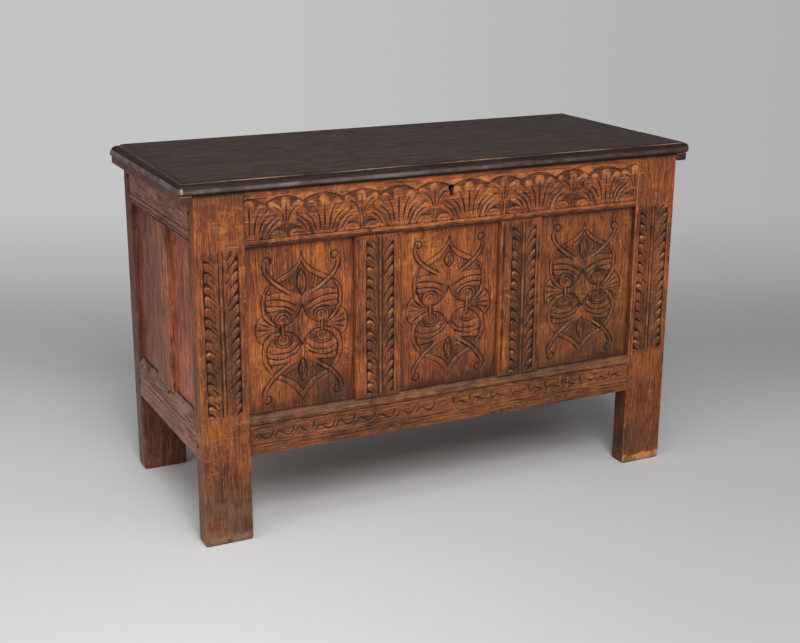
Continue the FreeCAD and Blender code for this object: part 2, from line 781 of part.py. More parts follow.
bow = "(case_inside - bolt_back - bolt_play)"
crown = about("spring_length / 2", "spring_crown / 2")
spring_points = [("0", bow), ("0", bow + " - spring_thickness"), (crown[0], "0"), (crown[1], "0"),
                 ("spring_length", bow + " - spring_thickness"), ("spring_length", bow),
                 (crown[1], "spring_thickness"), (crown[0], "spring_thickness")]
spring_at = ("key_shift - spring_reach - spring_length / 2", "bolt_back + bolt_play",
             "bolt_low + bolt_height / 2 - spring_width / 2")
piece("bolt_spring", padded("Spring", "XY_Plane", spring_points, "spring_width", spring_at))

bolt_y = ("bolt_front", "bolt_back")
bar = box(("bolt_tail", "bolt_tip"), bolt_y, ("bolt_low", "bolt_high"), "Bolt")
talon_x = about("(key_shift - bolt_throw / 2)", "talon_width / 2")
talon = box(talon_x, bolt_y, ("bolt_low", "bolt_low + talon_depth"), "Talon")
piece("lock_bolt", cut(bar, [talon]))

# ---------------------------------------------------------------- lid

staple_plate_y = "(rail_inside + staple_drop_play)"
staple_nail_starts = []
for x in about("staple_middle", "staple_plate_length / 2 - staple_nail_margin"):
    for y in ("staple_nail_margin", "staple_plate_depth - staple_nail_margin"):
        staple_nail_starts.append((x, staple_plate_y + " + " + y, "lid_low - staple_plate_thickness"))

cleat_depth = "(rear_face - lid_front - cleat_front_setback)"


def cleat_nail_starts(side):
    x = "{} * (half_length + cleat_side_gap + cleat_width / 2)".format(side)
    y = "lid_front + cleat_front_setback + {} * " + cleat_depth
    return [(x, y.format(part), "lid_low - cleat_height") for part in (0.08, 0.36, 0.64, 0.92)]


def cleat(side):
    """A batten under one end of the lid, outside the carcase, with its outer lower edge rounded."""
    points = [("0", "0"), ("cleat_width", "0"), ("cleat_width", cleat_depth), ("0", cleat_depth)]
    outer_x = "(half_length + cleat_side_gap + cleat_width)"
    x = "-" + outer_x if side < 0 else "half_length + cleat_side_gap"
    at = (x, "lid_front + cleat_front_setback", "lid_low - cleat_height")
    batten = padded("Cleat", "XY_Plane", points, "cleat_height", at)
    outer = 0 if side < 0 else value("cleat_width")

    def outer_lower(middle):
        return abs(middle.x - outer) < 0.01 and abs(middle.z) < 0.01

    round_over(batten, outer_lower, "cleat_edge_radius")
    return cut(batten, nail_holes(cleat_nail_starts(side), "cleat_nail_length", "up"))


def lid_board():
    """One wide board with a rounded nose at the front and both ends."""
    length = "(2 * lid_half_length)"
    depth = "(rear_face - lid_front)"
    points = [("0", "0"), (length, "0"), (length, depth), ("0", depth)]
    at = ("-lid_half_length", "lid_front", "lid_low")
    board = padded("LidBoard", "XY_Plane", points, "lid_thickness", at)
    far = value(length)
    for level, radius in ((value("lid_thickness"), "nose_top_radius"), (0, "nose_under_radius")):
        def on_nose(middle):
            on_side = min(abs(middle.x), abs(middle.x - far), abs(middle.y)) < 0.01
            return on_side and abs(middle.z - level) < 0.01
        round_over(board, on_nose, "min({0}; {0} / nose_radii * 0.95 * lid_thickness)".format(radius))
    holes = nail_holes(all_strap_nails + staple_nail_starts, "strap_nail_length", "up")
    holes += nail_holes(cleat_nail_starts(-1) + cleat_nail_starts(1), "cleat_nail_length", "up")
    return cut(board, holes)


piece("lid_board", lid_board())
piece("left_lid_cleat", cleat(-1))
piece("right_lid_cleat", cleat(1))
all_cleat_nails = cleat_nail_starts(-1) + cleat_nail_starts(1)
group("cleat_nails", [nail(start, "cleat_nail_length", "up") for start in all_cleat_nails])


def lid_staple():
    """A plate under the lid with the eye that hangs into the lock."""
    base_x = about("staple_middle", "staple_plate_length / 2")
    base_y = (staple_plate_y, staple_plate_y + " + staple_plate_depth")
    base = box(base_x, base_y, ("lid_low - staple_plate_thickness", "lid_low"), "StaplePlate")
    x = about("staple_middle", "staple_width / 2")
    eye_low = "bolt_low - staple_drop_play"
    loop = box(x, ("bolt_front - staple_play - staple_bar", "bolt_back + staple_play + staple_bar"),
               (eye_low + " - staple_bar", "lid_low"), "Loop")
    eye = box(x, ("bolt_front - staple_play", "bolt_back + staple_play"),
              (eye_low, "lid_low - staple_plate_thickness"), "Eye")
    holes = nail_holes(staple_nail_starts, "strap_nail_length", "up")
    return cut(fused([base, loop]), [eye] + holes)


piece("lid_staple", lid_staple())
group("staple_nails", [nail(start, "strap_nail_length", "up") for start in staple_nail_starts])

# ---------------------------------------------------------------- check and write

doc.recompute()
for item in doc.Objects:
    faults = {"Invalid", "Error"} & set(item.State)
    if faults:
        raise RuntimeError("{} ({}) is {}".format(item.Name, item.Label, faults))
for item in pieces:
    shape = item.Shape
    if shape.isNull() or not shape.isValid() or not shape.Solids:
        raise RuntimeError("{} has no sound shape".format(item.Label))

os.makedirs("parts", exist_ok=True)
for item in pieces:
    item.Shape.exportStep(os.path.join("parts", item.Label + ".step"))
print(len(pieces), "sub-parts written")
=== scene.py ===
import itertools
import math

import bpy
import numpy as np
from mathutils import Matrix, Vector


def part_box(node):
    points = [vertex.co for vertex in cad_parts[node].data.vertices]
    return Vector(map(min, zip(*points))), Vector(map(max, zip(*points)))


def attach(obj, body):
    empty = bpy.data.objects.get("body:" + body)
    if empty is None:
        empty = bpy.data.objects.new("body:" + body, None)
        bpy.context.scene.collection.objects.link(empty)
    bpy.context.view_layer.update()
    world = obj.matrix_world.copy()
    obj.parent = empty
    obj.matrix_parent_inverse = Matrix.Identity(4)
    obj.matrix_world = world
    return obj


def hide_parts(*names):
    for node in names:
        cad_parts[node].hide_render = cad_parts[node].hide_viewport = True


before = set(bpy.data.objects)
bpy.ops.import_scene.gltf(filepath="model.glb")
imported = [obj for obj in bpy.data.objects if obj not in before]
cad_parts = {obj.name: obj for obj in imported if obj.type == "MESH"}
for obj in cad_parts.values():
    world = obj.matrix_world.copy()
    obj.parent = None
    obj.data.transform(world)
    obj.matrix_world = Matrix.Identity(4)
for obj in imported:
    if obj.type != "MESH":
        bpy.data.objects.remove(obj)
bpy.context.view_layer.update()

mm = 0.001
print("chest: frame loaded,", len(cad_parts), "nodes")


def addObject(name, data):
    thing = bpy.data.objects.new(name, data)
    bpy.context.collection.objects.link(thing)
    return thing


cameraSet = {
    "place": (-1.3552, -2.73935, 1.2751), "clip": (0.05, 200),  # metres
    "yaw": 26.28, "pitch": -16.80, "roll": 0.24,  # degrees
    "lens": 60.75, "sensor": 36.0,
}


def setCamera(c):
    yaw, pitch, roll = (math.radians(c[k]) for k in ("yaw", "pitch", "roll"))
    ahead = Vector((math.sin(yaw) * math.cos(pitch), math.cos(yaw) * math.cos(pitch), math.sin(pitch)))
    right = Vector((math.cos(yaw), -math.sin(yaw), 0))
    up = right.cross(ahead)
    side = right * math.cos(roll) + up * math.sin(roll)
    top = up * math.cos(roll) - right * math.sin(roll)
    data = bpy.data.cameras.new("chestCamera")
    data.lens, data.sensor_width = c["lens"], c["sensor"]
    data.clip_start, data.clip_end = c["clip"]
    camera = addObject("chestCamera", data)
    turn = Matrix((side, top, -ahead)).transposed().to_4x4()
    camera.matrix_world = Matrix.Translation(Vector(c["place"])) @ turn
    bpy.context.scene.camera = camera


setCamera(cameraSet)
bpy.context.scene.view_settings.view_transform = "Standard"


def paint(r, g, b):
    # a shader colour from red, green and blue of up to 255
    parts = (c / 255 for c in (r, g, b))
    return tuple(c / 12.92 if c <= 0.04045 else ((c + 0.055) / 1.055) ** 2.4 for c in parts) + (1.0,)


def feed(tree, socket, value):
    if isinstance(value, bpy.types.NodeSocket):
        tree.links.new(value, socket)
    else:
        socket.default_value = value


def addNode(tree, kind, settings=None, **inputs):
    # inputs go by their names, or as i0, i1 and so on by their places
    node = tree.nodes.new("ShaderNode" + kind)
    for key, value in (settings or {}).items():
        setattr(node, key, value)
    for key, value in inputs.items():
        feed(tree, node.inputs[int(key[1:]) if key[1:].isdigit() else key], value)
    return node


def vectors(tree, how, *values):
    inputs = {"i%d" % k: v for k, v in enumerate(values)}
    node = addNode(tree, "VectorMath", {"operation": how}, **inputs)
    return node.outputs["Value" if how in ("DOT_PRODUCT", "LENGTH") else "Vector"]


def sums(tree, *values, how="ADD"):
    inputs = {"i%d" % k: v for k, v in enumerate(values)}
    return addNode(tree, "Math", {"operation": how}, **inputs).outputs[0]


def times(tree, a, b):
    return sums(tree, a, b, how="MULTIPLY")


def noise(tree, vector, scale, detail=2.0, rough=0.5, distort=0.0, out=0):
    inputs = {"Vector": vector, "Scale": scale, "Detail": detail, "Roughness": rough, "Distortion": distort}
    return addNode(tree, "TexNoise", None, **inputs).outputs[out]


def rise(tree, value, low, high, bottom=0.0, top=1.0, how="SMOOTHSTEP"):
    settings = {"interpolation_type": how, "clamp": True}
    return addNode(tree, "MapRange", settings, i0=value, i1=low, i2=high, i3=bottom, i4=top).outputs[0]


def blendColour(tree, factor, a, b, how="MIX"):
    settings = {"data_type": "RGBA", "blend_type": how, "clamp_factor": True}
    return addNode(tree, "Mix", settings, i0=factor, i6=a, i7=b).outputs[2]


def colourRamp(tree, value, stops, blend="LINEAR"):
    ramp = addNode(tree, "ValToRGB", None, i0=value)
    ramp.color_ramp.interpolation = blend
    elements = ramp.color_ramp.elements
    while len(elements) < len(stops):
        elements.new(0.5)
    for element, (at, colour) in zip(elements, stops):
        element.position, element.color = at, paint(*colour)
    return ramp.outputs[0]


def newFinish(name, wire):
    # wire is given the node tree and the place on the piece, and says what goes into the shader
    material = bpy.data.materials.new(name)
    material.use_nodes = True
    tree = material.node_tree
    place = tree.nodes.new("ShaderNodeTexCoord").outputs["Object"]
    for key, value in wire(tree, place).items():
        feed(tree, tree.nodes["Principled BSDF"].inputs[key], value)
    return material


oakTones = {
    # ramp: from stain in the pores to pale fleck
    # weights: long bands, fibre, short rays, mottled figure, patches, blotches
    "front": {
        "ramp": ((24, 14, 9), (72, 36, 18), (132, 66, 28), (172, 94, 38), (204, 138, 74)),
        "worn": (210, 140, 74), "film": (112, 100, 80), "weights": (0.30, 1.20, 0.72, 0.34, 0.56, 0.34),
        "flecks": 0.55, "flames": 0.8, "flame": (182, 114, 44), "steady": 0.2, "gloss": 0.48, "sheen": 0.03,
    },
    "side": {
        "ramp": ((36, 21, 17), (78, 42, 32), (126, 68, 50), (160, 92, 68), (184, 124, 98)),
        "worn": (162, 104, 82), "film": (126, 112, 100), "weights": (0.40, 1.6, 1.0, 0.44, 0.50, 0.40),
        "flecks": 0.22, "flames": 0.0, "steady": 0.2, "gloss": 0.42, "sheen": 0.10,
    },
    "lid": {
        "ramp": ((17, 11, 9), (33, 22, 17), (50, 34, 26), (70, 48, 37), (98, 72, 58)),
        "worn": (188, 148, 124), "film": (112, 102, 98), "weights": (0.40, 1.5, 0.85, 0.36, 0.16, 0.24),
        "flecks": 0.16, "flames": 0.0, "steady": 0.7, "gloss": 0.42, "sheen": 0.0,
    },
    "cleat": {
        "ramp": ((30, 18, 15), (60, 34, 27), (98, 56, 44), (128, 76, 60), (150, 102, 84)),
        "worn": (150, 96, 76), "film": (100, 84, 74), "weights": (0.30, 0.60, 0.40, 0.40, 0.50, 0.40),
        "flecks": 0.14, "flames": 0.0, "steady": 0.2, "gloss": 0.44, "sheen": 0.05,
    },
    "floor": {
        "ramp": ((48, 34, 25), (86, 60, 40), (122, 88, 58), (150, 112, 76), (170, 136, 98)),
        "worn": (160, 124, 86), "film": (150, 130, 108), "weights": (0.30, 0.60, 0.50, 0.34, 0.36, 0.30),
        "flecks": 0.3, "flames": 0.0, "steady": 0.2, "gloss": 0.62, "sheen": 0.0,
    },
    "peg": {
        "ramp": ((28, 17, 12), (56, 32, 21), (92, 52, 30), (120, 72, 42), (140, 92, 60)),
        "worn": (150, 98, 62), "film": (120, 96, 76), "weights": (0.30, 0.50, 0.40, 0.40, 0.20, 0.30),
        "flecks": 0.1, "flames": 0.0, "steady": 0.2, "gloss": 0.5, "sheen": 0.0,
    },
}
oakSockets = (
    ("Grain", "INPUT", "Vector"), ("Colour", "OUTPUT", "Color"), ("Rough", "OUTPUT", "Float"),
    ("Height", "OUTPUT", "Float"),
)


def oakGroup(kind, tone):
    # grain runs along x of the vector that comes in
    tree = bpy.data.node_groups.new("oak_" + kind, "ShaderNodeTree")
    for label, way, sort in oakSockets:
        tree.interface.new_socket(label, in_out=way, socket_type="NodeSocket" + sort)
    start = tree.nodes.new("NodeGroupInput").outputs[0]
    drift = noise(tree, vectors(tree, "MULTIPLY", start, (2.2, 9, 9)), 1.0, 1.0, out=1)
    drift = vectors(tree, "MULTIPLY_ADD", drift, (0, 0.016, 0.016), start)

    def grained(sizes, *how):
        return noise(tree, vectors(tree, "MULTIPLY", drift, sizes), 1.0, *how)

    bands = grained((1.3, 55, 34), 3, 0.6)
    fibre = grained((16, 460, 380), 3, 0.65)
    pores = grained((70, 1000, 900), 1, 0.5)
    rays = grained((58, 340, 360), 3, 0.7, 0.7)
    figure = grained((20, 74, 74), 4, 0.62, 0.8)
    patch = noise(tree, start, 7.0, 3, 0.55)
    blotch = noise(tree, start, 30.0, 3, 0.6)
    names = ("cut", "wear", "dust", "age")
    cut, wear, dust, age = (addNode(tree, "Attribute", {"attribute_name": k}).outputs[2] for k in names)

    # one reading of how pale the wood is, then the colours from stain to fleck
    level = 0.5 - 0.5 * sum(tone["weights"])
    for share, weight in zip((bands, fibre, rays, figure, patch, blotch), tone["weights"]):
        level = sums(tree, share, weight, level, how="MULTIPLY_ADD")
    body = colourRamp(tree, level, list(zip((0.0, 0.26, 0.5, 0.72, 1.0), tone["ramp"])))
    stain, dark, fleck = (paint(*tone["ramp"][k]) for k in (0, 1, 4))
    lit = times(tree, rise(tree, rays, 0.57, 0.68, 0, tone["flecks"]), rise(tree, figure, 0.40, 0.62))
    layers = [(lit, fleck)]
    if tone["flames"]:
        # broad silver figure, which runs across the grain here and there
        flames = rise(tree, grained((95, 34, 34), 4, 0.68, 0.9), 0.49, 0.68)
        here = rise(tree, noise(tree, start, 9.0, 2, 0.5), 0.50, 0.64, 0, tone["flames"])
        layers.append((times(tree, flames, here), paint(*tone["flame"])))
    layers.append((rise(tree, pores, 0.62, 0.70, 0, 0.6), stain))
    # the wood is darkened by the carving and in the corners: partly long handling and smoke, partly painted
    # shade
    smokeAndShade = times(tree, age, rise(tree, patch, 0.25, 0.7, 0.9, 0.45))
    layers.append((smokeAndShade, blendColour(tree, 0.5, dark, stain)))
    # worn arrises show paler wood, unevenly; the same pale layer paints highlights on leaf crests and on high
    # spots of the carving
    rubAndGlint = times(tree, wear, rise(tree, blotch, 0.30, 0.62, tone["steady"], 1.0))
    layers.append((rise(tree, rubAndGlint, 0.20, 0.85, 0, 0.8), paint(*tone["worn"])))
    # old polish and dirt lie in the cuts, with painted shade in the keyhole's bore, the leaf pockets and
    # under the lid; dust and a painted sheen lie on what faces up
    dirtAndShade = times(tree, cut, rise(tree, blotch, 0.25, 0.75, 1.2, 0.75))
    layers.append((rise(tree, dirtAndShade, 0.08, 0.82, 0, 0.90), stain))
    # the pale film is dust, with a painted sheen on up-facing slopes and a painted reflection on the lid's
    # nose
    dustSheenShare = times(tree, dust, rise(tree, blotch, 0.36, 0.66, 0.6 * tone["steady"], 0.9))
    layers.append((dustSheenShare, paint(*tone["film"])))
    for share, colour in layers:
        body = blendColour(tree, share, body, colour)

    shine = rise(tree, fibre, 0.3, 0.7, tone["gloss"] + 0.10, tone["gloss"] - 0.05)
    shine = sums(tree, shine, rise(tree, blotch, 0.3, 0.7, -0.03, 0.06))
    shine = sums(tree, shine, rise(tree, cut, 0.1, 0.9, 0, 0.3))
    height = sums(tree, times(tree, fibre, 0.6), times(tree, bands, 0.6))
    height = sums(tree, height, rise(tree, pores, 0.60, 0.70, 0, -0.55))
    height = sums(tree, height, sums(tree, times(tree, blotch, 0.9), times(tree, rays, 0.5)))
    end = tree.nodes.new("NodeGroupOutput")
    for k, socket in enumerate((body, shine, height)):
        tree.links.new(socket, end.inputs[k])
    return tree


oakTrees = {kind: oakGroup(kind, tone) for kind, tone in oakTones.items()}
grainOrder = {"x": (0, 1, 2), "y": (1, 0, 2), "z": (2, 0, 1)}


def oakFinish(name, kind, grain, number, tint=None):
    # one finish for each board, so that no two boards share a figure
    def wire(tree, place):
        parts = addNode(tree, "SeparateXYZ", None, i0=place).outputs
        turned = {"i%d" % k: parts[j] for k, j in enumerate(grainOrder[grain])}
        shift = (0.37 * number % 5, 0.83 * number % 7, 0.59 * number % 6)
        moved = vectors(tree, "ADD", addNode(tree, "CombineXYZ", None, **turned).outputs[0], shift)
        colour, rough, height = addNode(tree, "Group", {"node_tree": oakTrees[kind]}, i0=moved).outputs
        if tint:
            colour = blendColour(tree, 1.0, colour, (*tint, 1.0), "MULTIPLY")
        bump = addNode(tree, "Bump", None, Strength=0.55, Distance=0.0006, Height=height).outputs[0]
        return {
            "Base Color": colour, "Roughness": rough, "Normal": bump, "Coat Roughness": 0.32,
            "Coat Weight": oakTones[kind]["sheen"], "Specular IOR Level": 0.17 if kind == "lid" else 0.34,
        }

    return newFinish(name, wire)


ironTones = {
    "forgedIron": {"bright": (92, 86, 80), "black": (44, 41, 40), "rust": (96, 56, 36), "rusty": 0.58},
    "lockIron": {"bright": (110, 104, 96), "black": (56, 52, 49), "rust": (92, 58, 40), "rusty": 0.66},
}


def ironFinish(name, tone):
    def wire(tree, place):
        hammer = addNode(tree, "TexVoronoi", {"feature": "SMOOTH_F1"}, Vector=place, Scale=95.0).outputs[0]
        grit = noise(tree, place, 900.0, 2, 0.6)
        cloud = noise(tree, place, 60.0, 4, 0.65)
        body = blendColour(tree, rise(tree, cloud, 0.35, 0.65), paint(*tone["black"]), paint(*tone["bright"]))
        rust = sums(tree, cloud, rise(tree, grit, 0.3, 0.7, -0.1, 0.1))
        rust = rise(tree, rust, tone["rusty"] - 0.08, tone["rusty"] + 0.06, 0, 0.85)
        height = sums(tree, times(tree, hammer, 1.2), times(tree, grit, 0.25))
        return {
            "Base Color": blendColour(tree, rust, body, paint(*tone["rust"])),
            "Metallic": rise(tree, rust, 0, 0.8, 0.75, 0.05),
            "Roughness": sums(tree, rise(tree, grit, 0.3, 0.7, 0.40, 0.56), times(tree, rust, 0.3)),
            "Normal": addNode(tree, "Bump", None, Strength=0.6, Distance=0.0007, Height=height).outputs[0],
        }

    return newFinish(name, wire)


iron = {name: ironFinish(name, tone) for name, tone in ironTones.items()}
print("chest: finishes mixed")


def fall(x):
    x = np.clip(x, 0, 1)
    return x * x * (3 - 2 * x)


def fade(x, power=1):
    # full at nothing, gone at one
    return np.clip(1 - x, 0, 1) ** power


def gridLines(low, high, band, fine, coarse):
    # closely spaced lines where there is carving, a few by each edge, wide ones elsewhere
    arris = 2.0
    start, stop = band or (high, high)
    byEdge = [arris * k for k in (0, 0.12, 0.35, 0.65, 1.0)]
    lines = [low + v for v in byEdge] + [high - v for v in byEdge]
    for a, b, step in ((low + arris, start, coarse), (start, stop, fine), (stop, high - arris, coarse)):
        if b - a > 0.5:
            lines += list(np.linspace(a, b, max(2, math.ceil((b - a) / step) + 1)))
    lines = np.unique(np.round([v for v in lines if low <= v <= high], 4))
    keep = [lines[0]]
    for v in lines[1:-1]:
        if min(v - keep[-1], lines[-1] - v) > 0.2:
            keep.append(v)
    return np.array(keep + [lines[-1]])


def moreRows(lines, extra, digits=4):
    return np.unique(np.round(np.concatenate([lines, extra]), digits))


def newGrid(us, vs):
    gu, gv = np.meshgrid(us, vs, indexing="ij")
    return {"us": us, "vs": vs, "gu": gu, "gv": gv}


def newRelief(us, vs):
    # depths: wood taken down, vee cuts, easing, leaf pockets; then wear, dirt, darkening and dust
    depths, looks = ("sunk", "line", "soft", "pocket"), ("wear", "grime", "age", "film")
    return {**newGrid(us, vs), **{key: np.zeros((len(us), len(vs))) for key in depths + looks}}


def smoothPath(points, steps=7):
    p = np.array(points, float)
    if len(p) < 3:
        return p
    p = np.vstack([2 * p[0] - p[1], p, 2 * p[-1] - p[-2]])
    out = []
    for a, b, c, d in zip(p[:-3], p[1:-2], p[2:-1], p[3:]):
        for t in np.linspace(0, 1, steps, endpoint=False):
            bent = (2 * a - 5 * b + 4 * c - d) * t * t + (3 * b - a - 3 * c + d) * t ** 3
            out.append(0.5 * (2 * b + (c - a) * t + bent))
    return np.vstack(out + [p[-2]])


def pathOf(points, smooth, closed=False):
    points = list(points) + ([points[0]] if closed else [])
    return smoothPath(points) if smooth else np.array(points, float)


def arc(x, z, wide, tall, start, stop, count):
    # part of an oval
    return [(x + wide * math.cos(t), z + tall * math.sin(t)) for t in np.linspace(start, stop, count)]


def beside(x, way, points):
    # a line measured out from x to one side
    return [(x + way * u, z) for u, z in points]


def nearPath(relief, path, reach):
    # the part of the face near a path, how far each place in it lies from the path, and how far along
    low, high = path.min(0) - reach, path.max(0) + reach
    zone = tuple(slice(*np.searchsorted(relief[k], ends)) for k, ends in zip(("us", "vs"), zip(low, high)))
    gu, gv = relief["gu"][zone], relief["gv"][zone]
    far, along = np.full(gu.shape, 1e6), np.zeros(gu.shape)
    lengths = np.maximum(np.linalg.norm(np.diff(path, axis=0), axis=1), 1e-6)
    run = 0.0
    for a, b, length in zip(path[:-1], path[1:], lengths):
        e = (b - a) / length
        s = np.clip((gu - a[0]) * e[0] + (gv - a[1]) * e[1], 0, length)
        d = np.hypot(gu - a[0] - s * e[0], gv - a[1] - s * e[1])
        closer = d < far
        far[closer] = d[closer]
        along[closer] = (run + s)[closer]
        run += length
    return zone, far, along / run


def nearLoop(relief, points, reach, smooth):
    # as nearPath, for how far in from a closed line each place lies
    loop = pathOf(points, smooth, closed=True)
    zone, far, _ = nearPath(relief, loop, reach)
    gu, gv = relief["gu"][zone], relief["gv"][zone]
    inside = np.zeros(gu.shape, bool)
    for (ax, ay), (bx, by) in zip(loop[:-1], np.roll(loop[:-1], -1, axis=0)):
        crosses = (ay > gv) != (by > gv)
        with np.errstate(divide="ignore", invalid="ignore"):
            at = (bx - ax) * (gv - ay) / (by - ay) + ax
        inside ^= crosses & (gu < at)
    return zone, np.where(inside, far, -far)


def groove(relief, points, width=2.3, depth=1.9, fades=0.1, shoulder=3.4, smooth=True):
    # a vee cut, with the wood beside it eased over; width is a half width, or a list of them along the cut
    path = pathOf(points, smooth)
    widths = np.atleast_1d(np.array(width, float))
    zone, far, along = nearPath(relief, path, widths.max() * 1.2 + shoulder)
    width = widths[0]
    if len(widths) > 1:
        width = np.interp(along, np.linspace(0, 1, len(widths)), widths)
        depth = depth * width / widths.max()
    length = np.linalg.norm(np.diff(path, axis=0), axis=1).sum()
    # no two strokes of the tool are alike
    sway = 1 + 0.17 * np.sin(along * length / 7.5 + path[0, 0] * 1.3 + path[0, 1])
    width, depth = width * sway, depth * sway
    ends = np.clip(np.minimum(along, 1 - along) / fades, 0.3, 1) if fades else 1.0
    vee = fade(far / width) * depth * ends
    ease = 0.30 * depth * ends * fade(far / (width + shoulder), 2)
    relief["line"][zone] = np.maximum(relief["line"][zone], vee)
    relief["soft"][zone] = np.maximum(relief["soft"][zone], ease)


def runGroove(relief, ends, z, width, depth, shoulder=2.0, waver=0.0, pitch=140):
    # a line scratched along a rail, straight or a little unsteady
    points = [(x, z + waver * math.sin(x / pitch)) for x in np.linspace(*ends, 40 if waver else 2)]
    groove(relief, points, width, depth, 0, shoulder, smooth=False)


def ground(relief, points, depth, edge=1.6, smooth=True):
    # the wood round a motif, taken down
    zone, deep = nearLoop(relief, points, edge + 2, smooth)
    relief["sunk"][zone] = np.maximum(relief["sunk"][zone], depth * fall((deep + 0.4) / edge))


wall = 1.3  # how wide the side of a raised part slopes


def leave(relief, zone, within, surface):
    share = fall((within + wall * 0.5) / wall)
    raised = relief["sunk"][zone] * (1 - share) + surface * share
    relief["sunk"][zone] = np.minimum(relief["sunk"][zone], raised)


def lift(relief, points, widths, crown=0.9, smooth=True, clear=False):
    # a strap or leaf left standing: widths are half widths from one end to the other
    widths = np.array(widths, float)
    zone, far, along = nearPath(relief, pathOf(points, smooth), widths.max() + wall)
    half = np.interp(along, np.linspace(0, 1, len(widths)), widths)
    within = half - far
    leave(relief, zone, within, crown * fade(within / np.maximum(half, 2.5), 2))
    if clear:  # what ran here before is now under this band
        for key in ("line", "soft"):
            relief[key][zone] *= 1 - fall((within + 1.0) / 1.2)


def plate(relief, points, crown=0.3, smooth=False):
    # a flat place inside a sunk ground, left at full height
    zone, within = nearLoop(relief, points, 4, smooth)
    leave(relief, zone, within, crown * fade(within / 4, 2))


def strap(relief, points, half, crown, cut, fades=0.03):
    # a flat band with a vee cut along each side
    path = smoothPath(points)
    lift(relief, path, [half], crown, smooth=False, clear=True)
    step = np.gradient(path, axis=0)
    side = np.stack([-step[:, 1], step[:, 0]], 1) / np.maximum(np.linalg.norm(step, axis=1), 1e-6)[:, None]
    for way in (-1, 1):
        groove(relief, path + side * half * way, depth=cut, fades=fades, smooth=False)


# each face's two directions, and the way it looks
facings = {
    "front": ((1, 0, 0), (0, 0, 1), (0, -1, 0)),
    "rear": ((-1, 0, 0), (0, 0, 1), (0, 1, 0)),
    "left": ((0, -1, 0), (0, 0, 1), (-1, 0, 0)),
    "right": ((0, 1, 0), (0, 0, 1), (1, 0, 0)),
    "top": ((1, 0, 0), (0, 1, 0), (0, 0, 1)),
}


def faceSpan(node, facing):
    # how far a packed board reaches along its face's two directions, and where its back and face are, in mm
    low, high = (np.array(v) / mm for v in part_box(node))
    return [sorted((float(np.dot(axis, low)), float(np.dot(axis, high)))) for axis in facings[facing]]


def spread(values, reach=4):
    # smears a map over its neighbours
    kernel = np.exp(-0.5 * (np.arange(-2 * reach, 2 * reach + 1) / reach) ** 2)
    kernel /= kernel.sum()
    for axis in (0, 1):
        if values.shape[axis] > 4 * reach + 1:
            values = np.apply_along_axis(lambda row: np.convolve(row, kernel, "same"), axis, values)
    return values


def roundCorners(points, spans, radii):
    # eases the outline's corners: low u low v, high u low v, low u high v, high u high v
    (u0, u1), (v0, v1) = spans[:2]
    corners = ((u0, 1, v0, 1), (u1, -1, v0, 1), (u0, 1, v1, -1), (u1, -1, v1, -1))
    for radius, (cu, wayU, cv, wayV) in zip(radii, corners):
        a, b = (points[:, 0] - cu) * wayU, (points[:, 1] - cv) * wayV
        pick = (a < radius) & (b < radius)
        rho = radius - np.minimum(a, b)
        turn = (radius - np.maximum(a, b)) / np.maximum(rho, 1e-9) * math.pi / 4
        near, other = radius - rho * np.cos(turn), radius - rho * np.sin(turn)
        for k, corner, way, value in ((0, cu, wayU, np.where(a <= b, near, other)),
                                      (1, cv, wayV, np.where(a <= b, other, near))):
            points[:, k] = np.where(pick, corner + way * value, points[:, k])


plainWork = {
    "arris": 2.0, "underside": 1.5, "corners": None,  # how far the front, back and corner edges are eased
    "insets": (1, 1, 1, 1),  # how much of the back's easing each side takes
    "blocks": (),  # tenons
    "edges": (0.5, 0.5, 0.5, 0.5),  # how rubbed each edge of the face is, or how dirty where below nothing
    "ringWear": 0.5, "bulge": 0.0,  # wear on the back's edges, and how far the face's wear, dust and painted sheen run over the sides
    "lowAge": 0.0, "sideAge": (0, 0, 0, 0), "backAge": 0.0,
    "haze": 0.7, "filmed": 0.8, "sills": 0.16,  # darkening round cuts; dust and painted sheen on eased places and in cuts, where they face up
}
blockSides = np.array([(0, 2, 3, 1), (4, 5, 7, 6), (0, 1, 5, 4), (2, 6, 7, 3), (0, 4, 6, 2), (1, 3, 7, 5)])


def faceMarks(name, facing, spans, relief, w):
    # how deep the worked face lies, and its four marks
    (u0, u1), (v0, v1), _ = spans
    gu, gv, arris, upright = relief["gu"], relief["gv"], w["arris"], facing != "top"
    sides = (gu - u0, u1 - gu, gv - v0, v1 - gv)
    near = np.minimum.reduce(sides)
    eased = arris - np.sqrt(np.clip(arris ** 2 - np.clip(arris - near, 0, arris) ** 2, 0, None))
    wave = 0.16 * (np.sin(gu / 31 + gv / 47 + len(name)) + np.sin(gv / 23 - gu / 61 + 2.0))
    taken, soft, pocket = relief["sunk"] + relief["line"], relief["soft"], relief["pocket"]
    drop = taken + soft + pocket + eased + (0.32 + wave) * fall(near / 8)
    carved = taken + np.minimum(soft, 1.5) + pocket
    # high spots of the carving turn paler: wear, with a painted glint
    proudWearAndGlint = upright * np.clip((spread(carved) - carved - 0.25) / 1.1, 0, 1)
    # the cuts are stained dark; in the leaf pockets this is partly painted shade
    cut = np.clip(relief["sunk"] * 0.12 + relief["line"] * 0.78 + pocket * 0.40, 0, 1)
    rubbed = relief["wear"]
    for far, amount in zip(sides, w["edges"]):
        if amount > 0:
            rubbed = np.maximum(rubbed, amount * fade(far / (arris + 1.5)))
        else:
            cut = np.maximum(cut, -amount * fade(far / 2.2))
    wear = np.clip(np.maximum(rubbed, proudWearAndGlint * 0.55), 0, 1) * (1 - cut)
    cut = np.maximum(cut, relief["grime"])
    age = np.clip(spread(cut) * w["haze"] + relief["age"] + w["lowAge"] * fall((520 - gv) / 420), 0, 1)
    # what faces up gets dust and a painted sheen
    tilt, slope = (upright * np.gradient(values, relief["vs"], axis=1) for values in (soft, taken))
    dust = np.maximum(fall((tilt - 0.3) / 0.5) * w["filmed"], fall((slope - 0.15) / 0.8) * w["sills"])
    return drop, {"cut": cut, "wear": wear, "dust": np.maximum(dust, relief["film"]), "age": age}


